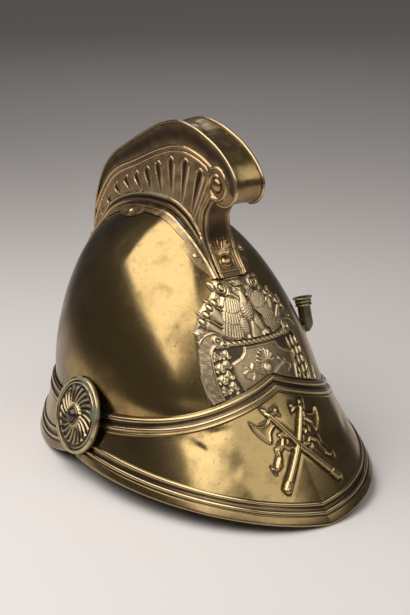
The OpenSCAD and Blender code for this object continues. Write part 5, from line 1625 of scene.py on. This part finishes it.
# Rivets: brass pins with a hammered round head outside and a shank through flange, peak, guard,
# bracket and band. Their seats are worked out on the skull, and Geometry Nodes set them there.


def spread_tree(name, sizes, make_shape):
    """Nodes that set a shape on every point, its own Z along the point's facing, and its inputs."""
    tree = bpy.data.node_groups.new(name, "GeometryNodeTree")
    given = [("Geometry", "NodeSocketGeometry"), *[(label, "NodeSocketFloat") for label in sizes],
             ("Finish", "NodeSocketMaterial")]
    inputs = {}
    for label, kind in given:
        socket = tree.interface.new_socket(label, in_out="INPUT", socket_type=kind)
        if label in sizes:
            socket.default_value = sizes[label] * MM
        inputs[label] = socket.identifier
    tree.interface.new_socket("Geometry", in_out="OUTPUT", socket_type="NodeSocketGeometry")
    node, link = tree.nodes.new, tree.links.new
    source, sink = node("NodeGroupInput"), node("NodeGroupOutput")
    facing, align = node("GeometryNodeInputNamedAttribute"), node("FunctionNodeAlignRotationToVector")
    facing.data_type = "FLOAT_VECTOR"
    facing.inputs["Name"].default_value = "facing"
    align.axis = "Z"
    link(facing.outputs[0], align.inputs["Vector"])
    spread, real = node("GeometryNodeInstanceOnPoints"), node("GeometryNodeRealizeInstances")
    shaded, dressed = node("GeometryNodeSetShadeSmooth"), node("GeometryNodeSetMaterial")
    link(source.outputs["Geometry"], spread.inputs["Points"])
    link(make_shape(node, link, source.outputs), spread.inputs["Instance"])
    link(align.outputs[0], spread.inputs["Rotation"])
    link(spread.outputs[0], real.inputs[0])
    link(real.outputs[0], shaded.inputs[0])
    link(shaded.outputs[0], dressed.inputs[0])
    link(source.outputs["Finish"], dressed.inputs["Material"])
    link(dressed.outputs[0], sink.inputs[0])
    return tree, inputs


def scaled_ball(node, link, widths, radius, segments, rings):
    """A ball scaled by the three sockets widths."""
    ball, squash = node("GeometryNodeMeshUVSphere"), node("GeometryNodeTransform")
    ball.inputs["Segments"].default_value = segments
    ball.inputs["Rings"].default_value = rings
    ball.inputs["Radius"].default_value = radius
    size = node("ShaderNodeCombineXYZ")
    for socket, width in zip(size.inputs, widths):
        link(width, socket)
    link(ball.outputs["Mesh"], squash.inputs["Geometry"])
    link(size.outputs[0], squash.inputs["Scale"])
    return squash.outputs[0]


def rivet_shape(node, link, size_of):
    """A round head on a shank that hangs below it."""
    head = scaled_ball(node, link, [size_of[x] for x in ("Head radius", "Head radius", "Head height")],
                       1.0, 24, 12)
    shank, sink_in = node("GeometryNodeMeshCylinder"), node("GeometryNodeTransform")
    shank.inputs["Vertices"].default_value = 16
    link(size_of["Shank radius"], shank.inputs["Radius"])
    link(size_of["Shank length"], shank.inputs["Depth"])
    half_down, drop = node("ShaderNodeMath"), node("ShaderNodeCombineXYZ")
    half_down.operation = "MULTIPLY"
    half_down.inputs[1].default_value = -0.5
    link(size_of["Shank length"], half_down.inputs[0])
    link(half_down.outputs[0], drop.inputs[2])
    link(shank.outputs["Mesh"], sink_in.inputs["Geometry"])
    link(drop.outputs[0], sink_in.inputs["Translation"])
    whole = node("GeometryNodeJoinGeometry")
    link(head, whole.inputs[0])
    link(sink_in.outputs[0], whole.inputs[0])
    return whole.outputs[0]


def spread_mesh(name, tree, inputs, at, toward, finish, sizes):
    """A plain mesh of the tree's shape at every point, turned along toward."""
    mesh = bpy.data.meshes.new(name + "_points")
    mesh.from_pydata(((np.asarray(at) + [0, AXIS_Y, 0]) * MM).tolist(), [], [])
    mesh.attributes.new("facing", "FLOAT_VECTOR", "POINT").data.foreach_set("vector", np.ravel(toward))
    holder = bpy.data.objects.new(name + "_holder", mesh)
    bpy.context.scene.collection.objects.link(holder)
    modifier = holder.modifiers.new("spread", "NODES")
    modifier.node_group = tree
    modifier[inputs["Finish"]] = finish
    for label, value in sizes.items():
        modifier[inputs[label]] = value * MM
    graph = bpy.context.evaluated_depsgraph_get()
    made = bpy.data.meshes.new_from_object(holder.evaluated_get(graph), depsgraph=graph)
    holder.modifiers.clear()
    bpy.data.objects.remove(holder)
    made.name = name
    return made


rivet_tree, rivet_inputs = spread_tree("rivets_on_points", {
    "Head radius": 2.6, "Head height": 1.4, "Shank radius": 1.2, "Shank length": 3}, rivet_shape)
rivet_brass = old_brass("rivet_brass_finish", (0.66, 0.54, 0.28), (0.15, 0.1, 0.05), age=0.4, green=0.2,
                        polish=0.2)


def rivets(name, at, toward, node_name, **sizes):
    """Rivets at points, their heads facing the directions toward."""
    sizes = {label.replace("_", " ").capitalize(): value for label, value in sizes.items()}
    made = spread_mesh(name, rivet_tree, rivet_inputs, at, toward, rivet_brass, sizes)
    made.set_sharp_from_angle(angle=math.radians(50))
    helmet_object(name, made, "rivet_brass", node_name)


def skull_normal(t, z):
    """Directions straight out of the skull."""
    e = 0.5
    n = np.cross(skull_pt(t - e, z) - skull_pt(t + e, z), skull_pt(t, z + e) - skull_pt(t, z - e))
    return n / np.linalg.norm(n, axis=-1)[..., None]


def both(points):
    """Points on the wearer's right, and their mirror images on the left."""
    points = np.atleast_2d(points)
    return np.concatenate([points, points * [-1, 1, 1]])


rivet_a = np.array(CREST_RIVETS, float)
rivet_foot, rivet_flange, _ = skirt_shape(rivet_a)
rivet_x = rivet_foot + 0.55 * rivet_flange


def seat(x, a, grow):
    """Places on the skull under the crest's flange, grown by grow."""
    yz = fan_flat(a, fan_r(x, a, grow))
    return np.concatenate([-np.asarray(x)[..., None], yz], -1)


e = 0.5
seat_n = np.cross(seat(rivet_x, rivet_a + e, 0) - seat(rivet_x, rivet_a - e, 0),
                  seat(rivet_x + e, rivet_a, 0) - seat(rivet_x - e, rivet_a, 0))
seat_n /= np.linalg.norm(seat_n, axis=1)[:, None]
seat_n *= np.sign((seat_n * (seat(rivet_x, rivet_a, 1) - seat(rivet_x, rivet_a, 0))).sum(1))[:, None]
rivets("crest_round_rivets", both(seat(rivet_x, rivet_a, 0) + seat_n * 1.2), both(seat_n), "crest_rivets",
       shank_length=3.4, head_height=1.6)
RIVET_DROP = 6.5
for name, turns_at, level in (("peak", (24, 52), peak_top_z), ("neck_guard", (128, 160), guard_top_z)):
    t = np.array(turns_at, float)
    level_z = level(t) - RIVET_DROP
    at, n = skull_pt(t, level_z), skull_normal(t, level_z)
    rivets(f"{name}_hidden_rivets", both(at - n * 1.5), both(-n), f"{name}_rivets",
           shank_length=2.6, head_radius=2.2, head_height=0.8)
t = np.array(LINER_RIVETS, float)
at, n = skull_pt(t, LINER_RIVET_Z), skull_normal(t, LINER_RIVET_Z)
rivets("liner_round_rivets", both(at + n * 0.4), both(n), "liner_rivets", shank_length=4.4, head_height=1.3)
SOCKET_T, SOCKET_Z = -70.0, 89.0
at, n = skull_pt(SOCKET_T, SOCKET_Z), skull_normal(SOCKET_T, SOCKET_Z)
level_way = np.cross([0.0, 0.0, 1.0], n)
level_way /= np.linalg.norm(level_way)
rivets("socket_round_rivets", [at + n * 1.8 + level_way * y for y in (-8, 8)], [n, n], "plume_socket_rivets",
       shank_length=3.4, head_height=1.4)

# Stitches: waxed thread along the hem of the sweatband and up both edges of each tongue, sewn by
# hand with an even stitch that stands a little proud of the leather.
STITCH = 2.6
STITCH_PITCH = 1.35 * STITCH
THREAD_T = 0.7
HEM_R = 100
HEM_DROP = 3.2
SEAM_SIDE = 0.84
SEAM_STITCHES = 34
thread = hide("waxed_thread", (0.42, 0.34, 0.22), (0.2, 0.15, 0.09))


def stitch_shape(node, link, size_of):
    """One stitch: a small ball drawn out along its thread."""
    return scaled_ball(node, link, [size_of[x] for x in ("Thickness", "Thickness", "Length")], 0.5, 8, 6)


stitch_tree, stitch_inputs = spread_tree("stitches_on_points", {"Length": STITCH, "Thickness": THREAD_T},
                                         stitch_shape)
at, along = [], []
hem_t = np.linspace(0, 360, int(2 * math.pi * HEM_R / STITCH_PITCH), endpoint=False)
hem_z = BAND_LOW + BAND_H - HEM_DROP
hem = band_pt(hem_t, np.full(hem_t.shape, hem_z), leather_mid - LEATHER / 2 - 0.1)
at.append(hem)
along.append(np.roll(hem, -1, 0) - np.roll(hem, 1, 0))
for i in range(TONGUES):
    mid = (i + 0.5) * 360 / TONGUES
    for side in (-SEAM_SIDE, SEAM_SIDE):
        k = np.linspace(2.3, TONGUE_ROWS - 0.3, SEAM_STITCHES)
        seam_line = tongue_pt(np.full(k.shape, mid + side * tongue_half), k,
                              tongue_cup(side, k) - LEATHER / 2 + 0.05)
        at.append(seam_line)
        along.append(np.gradient(seam_line, axis=0))
at, along = np.concatenate(at), np.concatenate(along)
along /= np.linalg.norm(along, axis=1)[:, None]
stitches = spread_mesh("liner_stitches", stitch_tree, stitch_inputs, at, along, thread, {})
helmet_object("liner_stitches", stitches, "liner_leather")

# Studs, nuts, washers and the socket's bracket: turned and cut pieces whose CAD shapes show as they
# are. The nuts and washers are iron, the studs brass, and the bracket has the socket's patina.
iron = old_brass("blackened_iron", (0.16, 0.145, 0.13), (0.1, 0.05, 0.025), age=0.8, green=0.0, polish=0.42)
for node_name, finish in (("front_plate_nuts", iron), ("rosette_nuts", iron), ("rosette_washers", iron),
                          ("front_plate_studs", rivet_brass), ("rosette_studs", rivet_brass),
                          ("plume_socket_bracket", socket_green)):
    cad = frame["nodes"][node_name]
    cad.data.materials.clear()
    cad.data.materials.append(finish)

# Studio: a pale floor, a large soft box over the wearer's right, a low fill in front and a small rim
# lamp behind, and the photograph's camera. Its lengths are metres.
FLOOR_HALF = 30.0
floor_mesh = bpy.data.meshes.new("floor")
floor_mesh.from_pydata([(x * FLOOR_HALF, y * FLOOR_HALF, 0) for x, y in ((-1, -1), (1, -1), (1, 1), (-1, 1))],
                       [], [(0, 1, 2, 3)])
floor = bpy.data.objects.new("floor", floor_mesh)
bpy.context.scene.collection.objects.link(floor)
floor_paint = bpy.data.materials.new("pale_floor")
floor_paint.use_nodes = True
floor_shader = floor_paint.node_tree.nodes["Principled BSDF"]
floor_shader.inputs["Base Color"].default_value = (0.86, 0.83, 0.81, 1)
floor_shader.inputs["Roughness"].default_value = 0.75
floor_mesh.materials.append(floor_paint)


def soft_box(name, place, target, width, height, power, colour=(1, 1, 1)):
    """A rectangular studio lamp that faces a point."""
    lamp = bpy.data.lights.new(name, "AREA")
    lamp.shape = "RECTANGLE"
    lamp.size = width
    lamp.size_y = height
    lamp.energy = power
    lamp.color = colour
    obj = bpy.data.objects.new(name, lamp)
    obj.location = place
    obj.rotation_euler = (Vector(target) - Vector(place)).to_track_quat("-Z", "Y").to_euler()
    bpy.context.scene.collection.objects.link(obj)
    return obj


aim_at = Vector((0.0, 0.0, 0.12))
# The key is turned so that its edges lie where the photograph shows its reflection to end
key_way = Matrix(((0.748, -0.414, 0.52), (0.542, 0.833, -0.116), (-0.384, 0.368, 0.847)))
key_at = Vector((-0.502, -0.089 + AXIS_Y * MM, 0.92))
key = soft_box("key_soft_box", key_at, key_at - key_way[2], 0.95, 1.53, 11.6, (1, 0.955, 0.93))
key.rotation_euler = key_way.transposed().to_euler()
soft_box("fill_soft_box", aim_at + 1.3 * Vector((0.2, -0.6, 0.76)), aim_at, 1.6, 0.6, 3.6, (1, 0.96, 0.93))
soft_box("rim_soft_box", (0.9, 1.6, 1.1), aim_at, 0.7, 0.4, 1.2, (1, 0.96, 0.92))
world = bpy.data.worlds.new("studio")
world.use_nodes = True
sky = world.node_tree.nodes["Background"]
sky.inputs["Color"].default_value = (0.09, 0.086, 0.083, 1)
sky.inputs["Strength"].default_value = 1.0
bpy.context.scene.world = world
camera = bpy.data.cameras.new("camera")
camera.lens = 84.88
camera.sensor_width = 36
camera.sensor_fit = "AUTO"
camera_obj = bpy.data.objects.new("camera", camera)
camera_obj.location = Vector((-604.99, -896.65, 482.33)) * MM
camera_obj.rotation_euler = Vector((0.5335, 0.7835, -0.3185)).to_track_quat("-Z", "Y").to_euler()
bpy.context.scene.collection.objects.link(camera_obj)
bpy.context.scene.camera = camera_obj
bpy.context.scene.view_settings.view_transform = "Standard"
